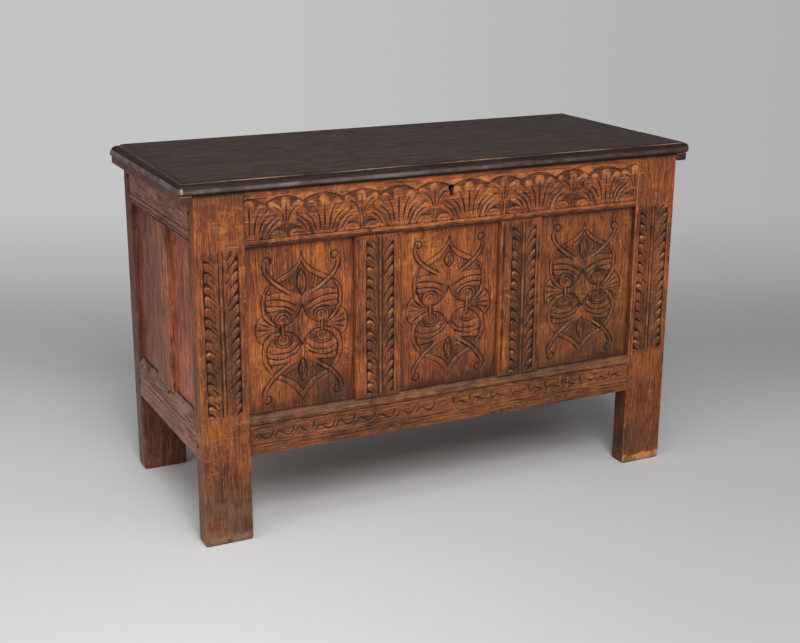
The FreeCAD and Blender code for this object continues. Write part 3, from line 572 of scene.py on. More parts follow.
def buildMesh(name, places, quads, fan, flat, marks):
    mesh = bpy.data.meshes.new(name)
    loops = np.concatenate([quads.ravel(), fan.ravel()]).astype(np.int32)
    totals = np.repeat((4, 3), (len(quads), len(fan))).astype(np.int32)
    mesh.vertices.add(len(places))
    mesh.vertices.foreach_set("co", places.astype(np.float32).ravel())
    mesh.loops.add(len(loops))
    mesh.loops.foreach_set("vertex_index", loops)
    mesh.polygons.add(len(totals))
    mesh.polygons.foreach_set("loop_start", (np.cumsum(totals) - totals).astype(np.int32))
    mesh.polygons.foreach_set("loop_total", totals)
    mesh.update(calc_edges=True)
    flat = (flat - flat.min(0) + 4) / ((flat.max(0) - flat.min(0)).max() + 8)
    mesh.uv_layers.new(name="OFBake").uv.foreach_set("vector", flat.astype(np.float32).ravel())
    for label, values in marks.items():
        mesh.attributes.new(label, "FLOAT", "POINT").data.foreach_set("value", values.astype(np.float32))
    mesh.shade_smooth()
    mesh.set_sharp_from_angle(angle=math.radians(50))
    mesh.validate()
    return mesh


def hewnBoard(name, facing, spans, relief, **how):
    # a closed board: the worked face is a fine grid, the edges and back are rings round it
    w = {**plainWork, **how}
    (u0, u1), (v0, v1), (n0, n1) = spans
    wide, tall, thick, under = u1 - u0, v1 - v0, n1 - n0, w["underside"]
    drop, face = faceMarks(name, facing, spans, relief, w)
    count = drop.size
    index = np.arange(count).reshape(drop.shape)
    rim = np.concatenate([index[:, 0], index[-1, 1:], index[:-1, -1][::-1], index[0, 1:-1][::-1]])
    after = np.roll(np.arange(len(rim)), -1)
    ru, rv, rimDrop = (values.ravel()[rim] for values in (relief["gu"], relief["gv"], drop))
    atRim = {key: values.ravel()[rim] for key, values in face.items()}
    stepU, stepV = ru[after] - ru, rv[after] - rv
    side = np.where(np.abs(stepV) < 1e-9, np.where(stepU > 0, 0, 2), np.where(stepV > 0, 1, 3))
    sideAge = np.array(w["sideAge"], float)[side]

    # the flat lay of the board's skin: the sides in lanes round the face, the back beyond them at half size
    gap = 10.0
    lane, level, backU = gap + (side // 2) * (gap + thick), side % 2 == 0, u1 + 3 * gap + 2 * thick

    def strip(u, v, depth):
        return np.stack([np.where(level, u, u1 + lane + depth), np.where(level, v1 + lane + depth, v)], 1)

    def back(u, v):
        return np.stack([backU + (u - u0) * 0.5, v0 + (v - v0) * 0.5], 1)

    points = [np.stack([relief["gu"].ravel(), relief["gv"].ravel(), n1 - drop.ravel()], 1)]
    marks = {key: [values.ravel()] for key, values in face.items()}
    faces = [np.stack([index[:-1, :-1], index[1:, :-1], index[1:, 1:], index[:-1, 1:]], -1).reshape(-1, 4)]
    flat = [points[0][:, :2][faces[0]]]
    # each ring: how deep, how far in, how worn, how much of the face's wear, dust and painted sheen runs over
    # it
    rings = [(3.5, 0, 0, 1)] + ([(thick - 3.5 - under, 0, 0, 1)] if thick > 12 else [])
    rings += [(thick - under, 0, 0.6, 1), (thick - 0.35 * under, 0.3 * under, 1, 0.35)]
    rings += [(thick, under, 0.6, 0), (thick, under + 3.5, 0, 0)]
    last, lastDepth, lastU, lastV = rim, 0.0, ru, rv
    for depth, inset, worn, share in rings:
        a, b, c, d = (inset * k for k in w["insets"])
        u = u0 + a + (ru - u0) * (wide - a - b) / wide
        v = v0 + c + (rv - v0) * (tall - c - d) / tall
        points.append(np.stack([u, v, np.minimum(n1 - depth, n1 - rimDrop - 0.02 * depth)], 1))
        age = np.maximum(atRim["age"] * 0.8, sideAge) if depth < thick else 0 * ru + w["backAge"]
        wear = np.maximum(worn * w["ringWear"], atRim["wear"] * w["bulge"] * (share == 1))
        looks = {"cut": 0 * ru, "wear": wear, "dust": atRim["dust"] * w["bulge"] * share, "age": age}
        for key, values in looks.items():
            marks[key].append(values)
        ring = count + np.arange(len(rim))
        faces.append(np.stack([last, ring, ring[after], last[after]], 1))
        if inset > under:
            edge, inner = back(lastU, lastV), back(u, v)
            flat.append(np.stack([edge, inner, inner[after], edge[after]], 1))
        else:
            here, there = (ru, rv), (ru[after], rv[after])
            corner = ((here, lastDepth), (here, depth), (there, depth), (there, lastDepth))
            flat.append(np.stack([strip(*at, deep) for at, deep in corner], 1))
        last, lastDepth, lastU, lastV = ring, depth, u, v
        count += len(rim)
    points.append([((u0 + u1) / 2, (v0 + v1) / 2, n0)])
    for key, values in marks.items():
        values.append([w["backAge"] if key == "age" else 0.0])
    fan = np.stack([last[after], last, np.full(len(rim), count)], 1)
    edge, middle = back(lastU, lastV), back(0 * ru + (u0 + u1) / 2, 0 * rv + (v0 + v1) / 2)
    fanFlat = np.stack([edge[after], edge, middle], 1).reshape(-1, 2)

    points, quads, flat = np.vstack(points), np.vstack(faces), np.vstack(flat)
    marks = {key: np.concatenate(values) for key, values in marks.items()}
    if w["corners"]:
        roundCorners(points, spans, w["corners"])
    # tenons are plain blocks that butt against the board
    spot = np.array([(0, 0), (0, 8), (8, 8), (8, 0)]) + (backU + wide * 0.5 + 12, v0)
    for across, up, deep in w["blocks"]:
        quads = np.vstack([quads, blockSides + len(points)])
        flat = np.vstack([flat, np.repeat(spot[None], 6, 0)])
        points = np.vstack([points, [(a, b, c) for c in deep for b in up for a in across]])
        marks = {key: np.append(values, np.zeros(8)) for key, values in marks.items()}
    places = points @ np.array(facings[facing], float) * mm
    flat = np.vstack([flat.reshape(-1, 2), fanFlat])
    return addObject(name, buildMesh(name, places, quads, fan, flat, marks))


# the body each kind of board rides with, and its slot
woodPlaces = {
    "front": ("carcase", "oak_front"), "side": ("carcase", "oak_sides"), "floor": ("carcase", "oak_floor"),
    "lid": ("lid", "oak_lid"), "cleat": ("lid", "oak_lid"),
}
# each board's own tone; the left side's top rail is also lightened and greyed as a painted sheen
boardTintsAndSheen = {
    "frontLeftPanel": (0.92, 0.90, 0.86), "frontCentrePanel": (0.95, 0.95, 0.96),
    "frontRightPanel": (0.73, 0.77, 0.84), "frontBottomRail": (0.66, 0.74, 0.92),
    "frontLeftStile": (0.90, 0.92, 0.98), "frontRightStile": (0.92, 0.94, 1.00),
    "frontLeftMuntin": (0.94, 0.95, 0.96), "frontRightMuntin": (0.90, 0.92, 0.95),
    "sideLeftTopRail": (1.20, 1.42, 1.66), "sideLeftBottomRail": (1.04, 1.14, 1.16),
    "sideLeftFrontPanel": (1.42, 1.24, 1.02), "sideLeftRearPanel": (1.08, 1.02, 0.96),
    "sideLeftMuntin": (1.08, 1.10, 0.96), "rearLeftStile": (0.62, 0.70, 0.64),
}
boardCount = itertools.count(1)


def fitBoard(board, node, kind, grain):
    body, slotName = woodPlaces[kind]
    finish = oakFinish(board.name + "Oak", kind, grain, next(boardCount), boardTintsAndSheen.get(board.name))
    board.data.materials.append(finish)
    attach(board, body)
    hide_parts(node)


def plainBoard(node, name, facing, kind, grain, work=None, band=None, coarse=14.0, trim=None, **how):
    spans = faceSpan(node, facing)
    for k, ends in (trim or {}).items():
        spans[k] = ends
    us = gridLines(*spans[0], None, coarse, coarse)
    vs = gridLines(*spans[1], band, 1.0, coarse)
    relief = newRelief(us, vs)
    if work:
        work(relief, spans)
    fitBoard(hewnBoard(name, facing, spans, relief, **how), node, kind, grain)


def joined(*words):
    # side, left and top_rail make sideLeftTopRail
    first, *rest = "_".join(words).split("_")
    return first + "".join(word.capitalize() for word in rest)


# what the boards share, in mm: the middles of the front and back, and heights above the ground
shoulders = (-474, 474)
opening = (276, 635)
railTop, railFoot = 752, 189
lidShadowLine = 745.8  # above this the lid's shadow is painted on as a dark line


def tenonDeep(spans):
    back = spans[2][0]
    return back + 9, back + 21


panelFace = {
    "fine": 1.15, "deep": 1.6, "slip": (5.5, -4.0), "across": (-102, 112), "up": (287, 619),
    "drawn": (618, 295),  # the heights that the lines below were drawn to
}
frontPanels = {
    # curls: middles of the four scroll heads; eyes: middles of the hollows and their half sizes
    "frontLeftPanel": {
        "node": "front_left_panel", "opening": (-474, -232), "axis": -354.0, "ends": (619, 296), "seed": 1,
        "curls": ((-76, 603), (75, 604), (-80, 306), (79, 308)),
        "eyes": ((-43, 475, 9, 9), (43, 477, 9, 9), (-43, 432, 12, 10), (46, 432, 14, 10)),
        "leafTop": (524, 581), "crotch": 527, "footAge": 0.62,
    },
    "frontCentrePanel": {
        "node": "front_centre_panel", "opening": (-127, 117), "axis": -9.5, "ends": (616, 298), "seed": 2,
        "curls": ((-76, 603), (79, 607), (-80, 306), (76, 309)),
        "eyes": ((-47, 480, 9, 9), (47, 481, 10, 9), (-43, 434, 12, 10), (47, 436, 12, 10)),
        "leafTop": (546, 581), "crotch": 546, "footAge": 0.45,
        "patch": ((-9, 449), (8, 448), (9, 465), (-8, 466)),
    },
    "frontRightPanel": {
        "node": "front_right_panel", "opening": (222, 474), "axis": 338.0, "ends": (613, 300), "seed": 3,
        "curls": ((-73, 606), (82, 598), (-79, 306), (78, 307)),
        "eyes": ((-45, 480, 9, 9), (43, 482, 9, 9), (-48, 432, 13, 10), (47, 434, 19, 12)),
        "leafTop": (526, 580), "crotch": 527, "footAge": 0.45,
    },
}
panelLines = {
    # half of each line, measured out from the axis; heights are from the ground
    "ogeeOut": ((0, 618), (3, 606), (11, 593), (26, 580), (46, 569), (62, 561)),
    "ogeeIn": ((0, 598), (4, 590), (11, 578), (24, 568), (38, 560), (50, 555)),
    "bandOut": ((68, 555), (80, 545), (88, 530), (90, 510), (87, 490), (79, 475), (66, 466), (54, 462)),
    "bandIn": ((72, 547), (79, 534), (81, 517), (79, 500), (73, 484), (63, 472), (54, 466)),
    "scroll": ((22, 529), (36, 538), (52, 549), (68, 562), (79, 577), (83, 592)),
    "arc": ((0, 504), (4, 491), (11, 479), (26, 467), (42, 462)),
    "lowOgeeOut": ((0, 295), (4, 302), (14, 316), (26, 330), (41, 340), (60, 349)),
    "lowOgeeIn": ((0, 316), (6, 326), (16, 338), (30, 347), (48, 356)),
    "lowBandOut": ((54, 450), (71, 447), (83, 438), (90, 420), (91, 400), (87, 382), (78, 367), (68, 357)),
    "lowBandIn": ((48, 444), (61, 439), (73, 429), (80, 415), (81, 400), (77, 385), (70, 373)),
    "lowScroll": ((28, 379), (46, 367), (62, 355), (75, 340), (84, 326), (87, 315)),
    "lowArc": ((0, 417), (4, 425), (11, 437), (24, 447), (42, 451)),
    "outline": (
        (0, 610), (10, 588), (26, 577), (46, 567), (66, 556), (80, 540), (86, 512), (83, 490), (66, 470),
        (60, 457), (66, 446), (84, 424), (86, 398), (82, 378), (66, 360), (36, 344), (14, 324), (0, 303),
    ),
    "fan": (
        (84, 492), (97, 481), (103, 466), (103, 450), (98, 436), (86, 424), (68, 448), (58, 457), (68, 466),
    ),
    "bar": ((45, 442), (45, 455), (45, 468)),
}
panelBands = ("ogee", "band", "lowOgee", "lowBand")
fanVeins = (
    ((62, 461), (84, 483)), ((62, 459), (93, 473)), ((61, 457), (98, 459)), ((62, 455), (95, 445)),
    ((62, 453), (86, 434)),
)
fingerLines = (
    # each with its depth
    (((78, 530), (60, 534), (42, 533)), 0.9),
    (((83, 514), (79, 520), (56, 520.5), (36, 516), (21, 509), (13, 501)), 1.7),
    (((78, 507), (56, 507), (36, 503), (24, 497), (17, 489)), 1.7),
    (((83, 514), (78, 508), (82, 502), (78, 496), (70, 494)), 1.3),
    (((66, 493), (52, 497), (41, 497), (31, 493), (23, 485)), 1.5),
    (((66, 489), (67, 478), (60, 469), (52, 465)), 1.3),
    (((78, 412), (66, 404), (46, 403), (29, 405), (17, 412), (11, 421)), 1.6),
    (((72, 394), (52, 390), (31, 395), (13, 403)), 1.7),
    (((70, 379), (52, 380), (34, 383)), 1.5),
    (((80, 410), (82, 402), (76, 396), (70, 394)), 1.2),
)
fingerLeaves = (
    # each with its half widths
    (((18, 516), (34, 524), (52, 527), (77, 525)), (5, 7, 7, 6)),
    (((15, 498), (32, 509), (54, 514), (77, 514)), (4, 6.5, 6.5, 6)),
    (((21, 489), (34, 498), (52, 502), (73, 501)), (4, 5.5, 6, 6)),
    (((12, 412), (28, 402), (50, 397), (75, 403)), (4, 6, 7, 6)),
    (((16, 422), (30, 411), (52, 409), (74, 414)), (4, 5, 6, 6)),
    (((16, 393), (34, 389), (52, 386), (70, 387)), (4, 6, 6, 6)),
)
leaflets = (
    ((20, 543), (27, 553), (31, 568)), ((29, 540), (34, 550), (36, 562)),
    ((20, 372), (27, 362), (31, 347)), ((28, 370), (34, 360), (37, 352)),
)
eyeCuts = {
    # how far out each ring is, where it starts and stops, its half widths, depth and fading ends
    "upper": ((2.5, -0.3, math.pi + 0.3, [1.2, 2.6, 2.8, 2.6, 1.2], 2.0, 0),
              (8.5, -0.5, math.pi + 0.5, 1.9, 1.4, 0.1)),
    "lower": ((1.8, 0, 6.3, 2.1, 1.7, 0), (7.0, -math.pi - 0.4, 0.4, 2.0, 1.6, 0.05)),
}
curlHead = {"reach": 8.6, "from": 0.62, "to": 5.6, "hook": ((5.6, 8.6), (6.1, 6.0), (6.6, 3.6), (7.6, 2.6))}


def carvePanel(relief, p):
    cx, turn, b = p["axis"], p["seed"] * 1.7, panelLines
    peak, foot = (end - drawn for end, drawn in zip(p["ends"], panelFace["drawn"]))

    def place(points, way):
        # each side is cut by eye, so nothing repeats exactly
        out = []
        for x, z in points:
            off = x > 2
            climb = peak * fall((z - 575) / 40) + foot * fall((340 - z) / 40)
            out.append((cx + way * x + math.sin(z / 29 + turn + way) * off,
                        z + climb + math.sin(x / 23 + turn * 2 - way) * off))
        return out

    ground(relief, place(b["outline"], 1) + place(b["outline"][::-1], -1)[1:-1], panelFace["deep"])
    for way in (-1, 1):
        ground(relief, place(b["fan"], way), 1.2, smooth=False)
        plate(relief, place(b["fan"], way), 1.0)
        for vein in fanVeins:
            groove(relief, place(vein, way), [0.8, 2.2, 2.6], 1.6, 0)
        groove(relief, place(b["fan"][:6], way), 2.0, 1.5)
        for path, widths in fingerLeaves:
            lift(relief, place(path, way), widths, 0.6)
        for band in panelBands:
            out, within = (list(smoothPath(place(b[band + end], way))) for end in ("Out", "In"))
            plate(relief, out + within[::-1], 0.4)
    # plain wood left between the rings, and between the scrolls above and below
    core = place(b["arc"], 1) + place(b["lowArc"][::-1], 1)
    core += place(b["lowArc"], -1) + place(b["arc"][::-1], -1)
    above = ((-34, 538), (-8, p["crotch"]), (8, p["crotch"]), (34, 538), (20, 516), (0, 503), (-20, 516))
    below = ((-34, 373), (0, 388), (34, 373), (16, 396), (0, 418), (-16, 396))
    for points in (core, beside(cx, 1, above), beside(cx, 1, below)):
        plate(relief, points)
    # eyes: a hollow with rings round it
    for k, (ex, ez, rx, rz) in enumerate(p["eyes"]):
        plate(relief, arc(cx + ex, ez, rx + 9.0, rz + 9.0, 0, 6.283, 19)[:-1], 0.6)
        for grow, start, stop, width, depth, fades in eyeCuts["upper" if k < 2 else "lower"]:
            ring = arc(cx + ex, ez, rx + grow, rz + grow, start, stop, 19)
            groove(relief, ring, width, depth, fades, smooth=False)
        ground(relief, arc(cx + ex, ez, rx, rz, 0, 2 * math.pi, 25)[:-1], 2.0, 7.0, smooth=False)
    for way in (-1, 1):
        for key in [band + end for band in panelBands for end in ("Out", "In")] + ["arc", "lowArc"]:
            groove(relief, place(b[key], way), 1.75, 1.7, 0)
        for line, depth in fingerLines:
            groove(relief, place(line, way), 1.85, depth * 1.15, 0.1)
    # pointed leaves on the axis, and veined leaflets each side
    for a, c, half in ((*p["leafTop"], 10.5), (338, 389, 9.0)):
        middle, tall = (a + c) / 2, c - a
        lift(relief, [(cx, a), (cx, middle), (cx, c)], [1, half * 0.8, half, half * 0.8, 1], 0.9)
        side = ((0, a), (half * 0.75, a + tall * 0.25), (half, middle), (half * 0.7, a + tall * 0.77), (0, c))
        for way in (-1, 1):
            groove(relief, beside(cx, way, side), 2.2, 1.9, 0)
        left = ((-3.5, c - 8), (-1, middle + 5), (-3, middle - 6), (-0.5, a + 6))
        right = ((0.5, c - 6), (4, middle + 4), (2.5, middle - 8), (3, a + 12))
        groove(relief, beside(cx, 1, left), 1.8, 1.6, 0.1)
        groove(relief, beside(cx, 1, right), 1.7, 1.4, 0.1)
    for way in (-1, 1):
        for line in leaflets:
            leaf = place(line, way)
            lift(relief, leaf, [2.5, 4, 3], 0.8)
            groove(relief, leaf, 1.9, 1.5, 0.2)
        strap(relief, beside(cx, way, b["bar"]), 4.2, 0.4, 1.8)
    # scrolls run over the bands; each stem swells into a round head that turns back on itself
    for (sx, sz), key, way in zip(p["curls"], ("scroll", "scroll", "lowScroll", "lowScroll"), (-1, 1, -1, 1)):
        path = place(b[key], way)
        middle = np.array((cx + sx, float(sz)))
        lead = middle - np.array(path[-1])
        lead = lead / np.linalg.norm(lead)
        strap(relief, path + [tuple(middle - lead * 5.0)], 4.6, 0.5, 2.0, fades=0.12)
        lift(relief, [middle - lead, middle], [8.0], 1.1, smooth=False, clear=True)
        start, bend = math.atan2(-lead[1], -lead[0]), way if key == "scroll" else -way
        turns = [(t, curlHead["reach"]) for t in np.linspace(curlHead["from"], curlHead["to"], 22)]
        head = []
        for t, r in turns + list(curlHead["hook"]):
            head.append(middle + r * np.array((math.cos(start + bend * t), math.sin(start + bend * t))))
        groove(relief, head, [1.6, 2.3, 2.5, 2.3, 1.8], 2.0, 0.04, smooth=False)
    if "patch" in p:
        ground(relief, beside(cx, 1, p["patch"]), 0.8, 3.0, smooth=False)


def makePanel(name, p):
    spans = faceSpan(p["node"], "front")
    us = gridLines(*spans[0], [p["axis"] + u for u in panelFace["across"]], panelFace["fine"], 4.0)
    vs = gridLines(*spans[1], panelFace["up"], panelFace["fine"], 3.0)
    slipU, slipV = panelFace["slip"]
    relief = newRelief(us - slipU, vs - slipV)
    carvePanel(relief, p)
    relief.update(newGrid(us, vs))
    # a dark line where the panel meets its frame, and the panel darker towards its frame and its foot
    gu, gv = relief["gu"], relief["gv"]
    left, right = p["opening"]
    low, high = opening
    edge = np.minimum.reduce((gu - left, right - gu, gv - low, high - gv))
    foot = fade((gv - low) / 42, 1.4) * (0.55 + 0.45 * np.clip((gu - left) / (right - left), 0, 1))
    relief["grime"] = 0.9 * fade(edge / 3.2)
    relief["age"] = 0.85 * fade(edge / 5.5) + 0.42 * fade(edge / 26, 1.5) + 0.5 * foot
    relief["age"] += 0.55 * fall((relief["sunk"] - 0.7) / 0.8) + p["footAge"] * fall((410 - gv) / 110)
    board = hewnBoard(name, "front", spans, relief, arris=1.5, haze=0.42, sills=0.4)
    fitBoard(board, p["node"], "front", "z")


for panelName, panel in frontPanels.items():
    makePanel(panelName, panel)
print("chest: front panels carved")


def makeRail(name, r, carve):
    spans = faceSpan(r["node"], "front")
    ends, spans[0], spans[1] = spans[0], shoulders, r["tall"]
    us = gridLines(*shoulders, (-471, 471), r["fine"], r["fine"])
    vs = gridLines(*spans[1], r["band"], r["fine"], 4.0)
    if "rows" in r:
        vs = moreRows(vs, r["rows"], 3)
    relief = newRelief(us, vs)
    carve(relief, r)
    sides = ((ends[0], shoulders[0]), (shoulders[1], ends[1]))
    tenons = [(side, r["tenon"], tenonDeep(spans)) for side in sides]
    return hewnBoard(name, "front", spans, relief, arris=1.6, blocks=tenons, **r["how"]), spans


topRail = {
    "node": "front_top_rail", "tall": (opening[1], railTop), "fine": 1.2, "band": (640, 740),
    "tenon": (655, 735),
    "how": {"edges": (-0.8, -0.8, -0.6, -0.6), "sills": 0.45},
    "deep": 2.8, "base": 648.5, "cusp": 721.0, "peak": 734.5,
    "cusps": (-505, -430, -348, -260, -174, -92, -8, 82, 163, 253, 338, 428, 508),
    "fans": (-463, -300, -131.5, 36.6, 213, 388), "buds": (-384, -217, -46, 124, 299.5, 467),
    # from the outermost in: each petal's line, its half widths and its vein
    "petals": (
        (((34, 650), (46, 670), (67, 685)), (5, 7, 8.5, 9), ((35, 653), (47, 673), (65, 685))),
        (((17, 650), (27, 681), (50, 700)), (4, 6.5, 9, 9.5), ((18, 653), (27, 681), (48, 699))),
        (((8, 650), (14, 686), (29, 711)), (4, 7, 10, 10), ((9, 653), (14, 687), (26, 713))),
        (((0, 650), (0, 688), (0, 717)), (4, 8, 11.5, 11.5), ((0, 652), (0, 687), (0, 719))),
    ),
    "between": (
        ((5, 654), (8, 690), (14, 706)), ((13, 654), (20, 684), (37, 702)), ((26, 653), (36, 675), (57, 690)),
    ),
    "budLeaf": ((0, 664), (6, 688), (17, 705), (31, 717)),
    "budCuts": (
        (((4, 682), (10, 699), (20, 709), (29, 714)), 1.7), (((1.8, 650), (2.6, 666), (4.5, 681)), 1.5),
    ),
    "lobe": 61, "mouldings": (649.6, 640.6),
    "keyhole": {"x": -8.0, "z": 720.0, "radius": 6.5, "low": 702.5, "half": 3.0},
}


def scallops(r, count):
    # the arches along the top, as far as the shoulders
    arches, high = [], r["peak"] - r["cusp"]
    for left, right in zip(r["cusps"][:-1], r["cusps"][1:]):
        steps = np.linspace(0, 1, count)
        arch = [(left + (right - left) * t, math.sin(math.pi * t) ** 0.8) for t in steps]
        arches.append([(x, r["cusp"] + high * h) for x, h in arch if abs(x) <= shoulders[1]])
    return arches


def carveBud(relief, r, x, lean):
    for way in (-1, 1):
        lift(relief, beside(x, way, r["budLeaf"]), [3, 6, 8.5, 9, 7.5], 0.9)
        for path, depth in r["budCuts"]:
            groove(relief, beside(x, way, path), 1.8, depth)
    lift(relief, [(x, 652), (x, 690), (x + lean, 723)], [3.5, 5, 9, 9.5], 0.8)
    groove(relief, [(x, 680), (x + lean / 2, 702), (x + lean, 721)], 1.8, 1.8)


def carveFan(relief, r, x, seed, way):
    for n, (path, widths, vein) in enumerate(r["petals"]):
        wander = 1.3 * math.sin(seed + n * 2.1 + way)
        path, vein = ([(u + wander * (u > 9), z + wander * 0.7) for u, z in line] for line in (path, vein))
        lift(relief, beside(x, way, path), widths, 1.0)
        if n < 3 or way > 0:  # one vein down the middle
            groove(relief, beside(x, way, vein), [1.2, 2.3, 2.6, 2.2, 1.0], 2.3, 0.1)
    for line in r["between"]:
        groove(relief, beside(x, way, line), 1.6, 0.45, 0.3, 4.0)
    # small arched lobe at the foot
    foot = x + way * r["lobe"]
    lift(relief, [(foot - 6, 654), (foot + 6, 654)], [11], 1.0, smooth=False, clear=True)
    outer = arc(foot, 652, 17, 15, 0.05, math.pi - 0.05, 15)
    groove(relief, outer, [1.0, 1.7, 2.0, 1.7, 1.0], 1.2, smooth=False)
    groove(relief, arc(foot, 651, 9, 7, 0.3, math.pi - 0.3, 11), 1.8, 0.9, smooth=False)


def carveTopRail(relief, r):
    # ground below the scalloped line
    line = list({x: z for arch in scallops(r, 9) for x, z in arch}.items())
    line = [(shoulders[0], line[0][1])] + line + [(shoulders[1], line[-1][1])]
    foot = [(shoulders[1], r["base"]), (shoulders[0], r["base"])]
    ground(relief, [(x, z - 1.5) for x, z in line] + foot, r["deep"], 1.8, smooth=False)
    for arch in scallops(r, 11):
        if len(arch) > 2:
            groove(relief, arch, 1.7, 1.5, 0, smooth=False)
    for k, x in enumerate(r["buds"]):
        carveBud(relief, r, x, 1.2 * math.sin(k * 2.3))
    for k, x in enumerate(r["fans"]):
        for way in (-1, 1):
            carveFan(relief, r, x, k * 1.9, way)
    # mouldings run along the foot, and the step above each panel
    for z in r["mouldings"]:
        runGroove(relief, shoulders, z, 1.6, 1.0)
    gu, gv = relief["gu"], relief["gv"]
    relief["sunk"] = np.maximum(relief["sunk"], 2.4 * fall((r["mouldings"][1] - gv) / 2.2))
    # wear round the keyhole
    hole = r["keyhole"]
    near = np.hypot(gu - hole["x"], gv - hole["z"]) - hole["radius"]
    relief["soft"] = np.maximum(relief["soft"], 1.2 * fade(near / 3.5, 2))
    relief["line"] = np.maximum(relief["line"], 0.9 * fade(near / 1.6))
    # painted shade under the lid's overhang darkens the top edge, with a painted shadow line along it and
    # along the step above each panel; the sunk ground is darker
    relief["age"] = 0.9 * fade((railTop - gv) / 9) + 0.55 * fall((relief["sunk"] - 1.0) / 1.2)
    relief["grime"] = np.maximum(fall((gv - lidShadowLine) / 2.0), 0.5 * fall((640.4 - gv) / 1.6))
    # petal ends and the upper edge are rubbed bright
    rubbed = 0.5 * fall((gv - 700) / 14) * (relief["sunk"] < 0.9) * (gv < 738)
    relief["wear"] = np.maximum(relief["wear"], rubbed)


def boreKeyhole(board, spans, hole):
    # the keyhole goes right through
    x, z, radius, low, half = (hole[k] for k in ("x", "z", "radius", "low", "half"))
    gap = math.asin(half / radius)
    shape = arc(x, z, radius, radius, gap - math.pi / 2, 1.5 * math.pi - gap, 28)
    shape += [(x - half, low), (x + half, low)]
    back, face = spans[2]
    points = [(u * mm, -y * mm, v * mm) for y in (face + 4, back - 4) for u, v in shape]
    count = len(shape)
    faces = [tuple(range(count)), tuple(range(2 * count - 1, count - 1, -1))]
    faces += [(k, k + count, (k + 1) % count + count, (k + 1) % count) for k in range(count)]
    cutterMesh = bpy.data.meshes.new("keyholeCutter")
    cutterMesh.from_pydata(points, [], faces)
    boreShade = np.full(2 * count, 1.2, np.float32)
    cutterMesh.attributes.new("cut", "FLOAT", "POINT").data.foreach_set("value", boreShade)
    cutter = addObject("keyholeCutter", cutterMesh)
    bore = board.modifiers.new("keyhole", "BOOLEAN")
    bore.operation, bore.solver, bore.object = "DIFFERENCE", "EXACT", cutter
    bpy.context.view_layer.update()
    done = bpy.data.meshes.new_from_object(board.evaluated_get(bpy.context.evaluated_depsgraph_get()))
    board.modifiers.clear()
    old, board.data = board.data, done
    bpy.data.meshes.remove(old)
    bpy.data.objects.remove(cutter)
    done.name = board.name
    # the walls of the bore are painted black as shade
    spots, values = np.zeros(len(done.vertices) * 3, np.float32), np.zeros(len(done.vertices), np.float32)
    done.vertices.foreach_get("co", spots)
    done.attributes["cut"].data.foreach_get("value", values)
    across, y, up = spots.reshape(-1, 3).T / mm
    byHole = (np.abs(across - x) < radius + 0.6) & (up > low - 0.6) & (up < z + radius + 0.6)
    values[byHole & (y > 2.6 - face)] = 1.6
    done.attributes["cut"].data.foreach_set("value", values)


rail, railSpans = makeRail("frontTopRail", topRail, carveTopRail)
boreKeyhole(rail, railSpans, topRail["keyhole"])
fitBoard(rail, topRail["node"], "front", "x")
print("chest: top rail carved")


lowRail = {
    "node": "front_bottom_rail", "tall": (railFoot, opening[0]), "fine": 1.2, "band": (204, 258),
    "rows": (260.5, 262.0, 263.5, 265.0, 266.0, 267.2, 268.4, 270.0, 272.5, 275.2), "tenon": (205, 255),
    "how": {"edges": (-0.8, -0.8, 0.4, -0.6), "filmed": 0.45},
    "bevel": (266.0, 7.0),  # where it starts and how deep it ends
    "lines": ((255.2, 1.9, 1.3), (211.5, 1.6, 1.1), (205.2, 1.3, 0.8)),  # height, half width and depth
    "leftHooks": (-422, -376, -330, -282, -236, -187, -140, -90, -42),
    "rightHooks": (8, 50, 105, 155, 205, 248, 293, 343, 386, 424),
    # each cut's line from the hook's place, its half width and its depth
    "leftCuts": (
        (
            ((-45, 221), (-41, 229), (-34, 235), (-26, 231), (-18, 225), (-9, 225.5), (-2, 233), (0, 246)),
            2.0, 1.9,
        ),
        (((-31, 232), (-24, 236), (-17, 232)), 1.5, 0.9),
    ),
    "rightCuts": (
        (((0, 221), (5, 229), (12, 235), (21, 232.5), (29, 229), (36, 229)), 2.0, 1.9),
        (((-2, 246), (-3, 238), (-1, 230)), 1.9, 1.8),
        (((13, 229), (20, 227), (27, 224)), 1.5, 0.9),
    ),
}


def carveLowRail(relief, r):
    gv = relief["gv"]
    start, depth = r["bevel"]
    relief["age"] = 0.35 * fall((gv - 266.5) / 2) + 0.25 * fall((215 - gv) / 12)
    relief["age"] += 0.3 * fade(np.abs(gv - 256) / 5)
    relief["wear"] = 0.7 * fade(np.abs(gv - 263.5) / 2.4)
    runGroove(relief, shoulders, 267.2, 1.2, 0.8, 1.0, waver=0.6, pitch=90)
    for z, width, deep in r["lines"]:
        runGroove(relief, shoulders, z, width, deep, waver=1.0)
    # running hooks: each rises low, humps, dips and ends in a tick; those on the right dip less
    for half in ("left", "right"):
        for k, x in enumerate(r[half + "Hooks"]):
            rises = 1.2 * math.sin(k * 2.2 + len(half))
            for path, width, deep in r[half + "Cuts"]:
                groove(relief, [(x + u, z + rises) for u, z in path], width, deep)
    relief["soft"] += np.clip((gv - start) / (opening[0] - start), 0, 1) * depth


rail, railSpans = makeRail("frontBottomRail", lowRail, carveLowRail)
fitBoard(rail, lowRail["node"], "front", "x")
print("chest: bottom rail carved")


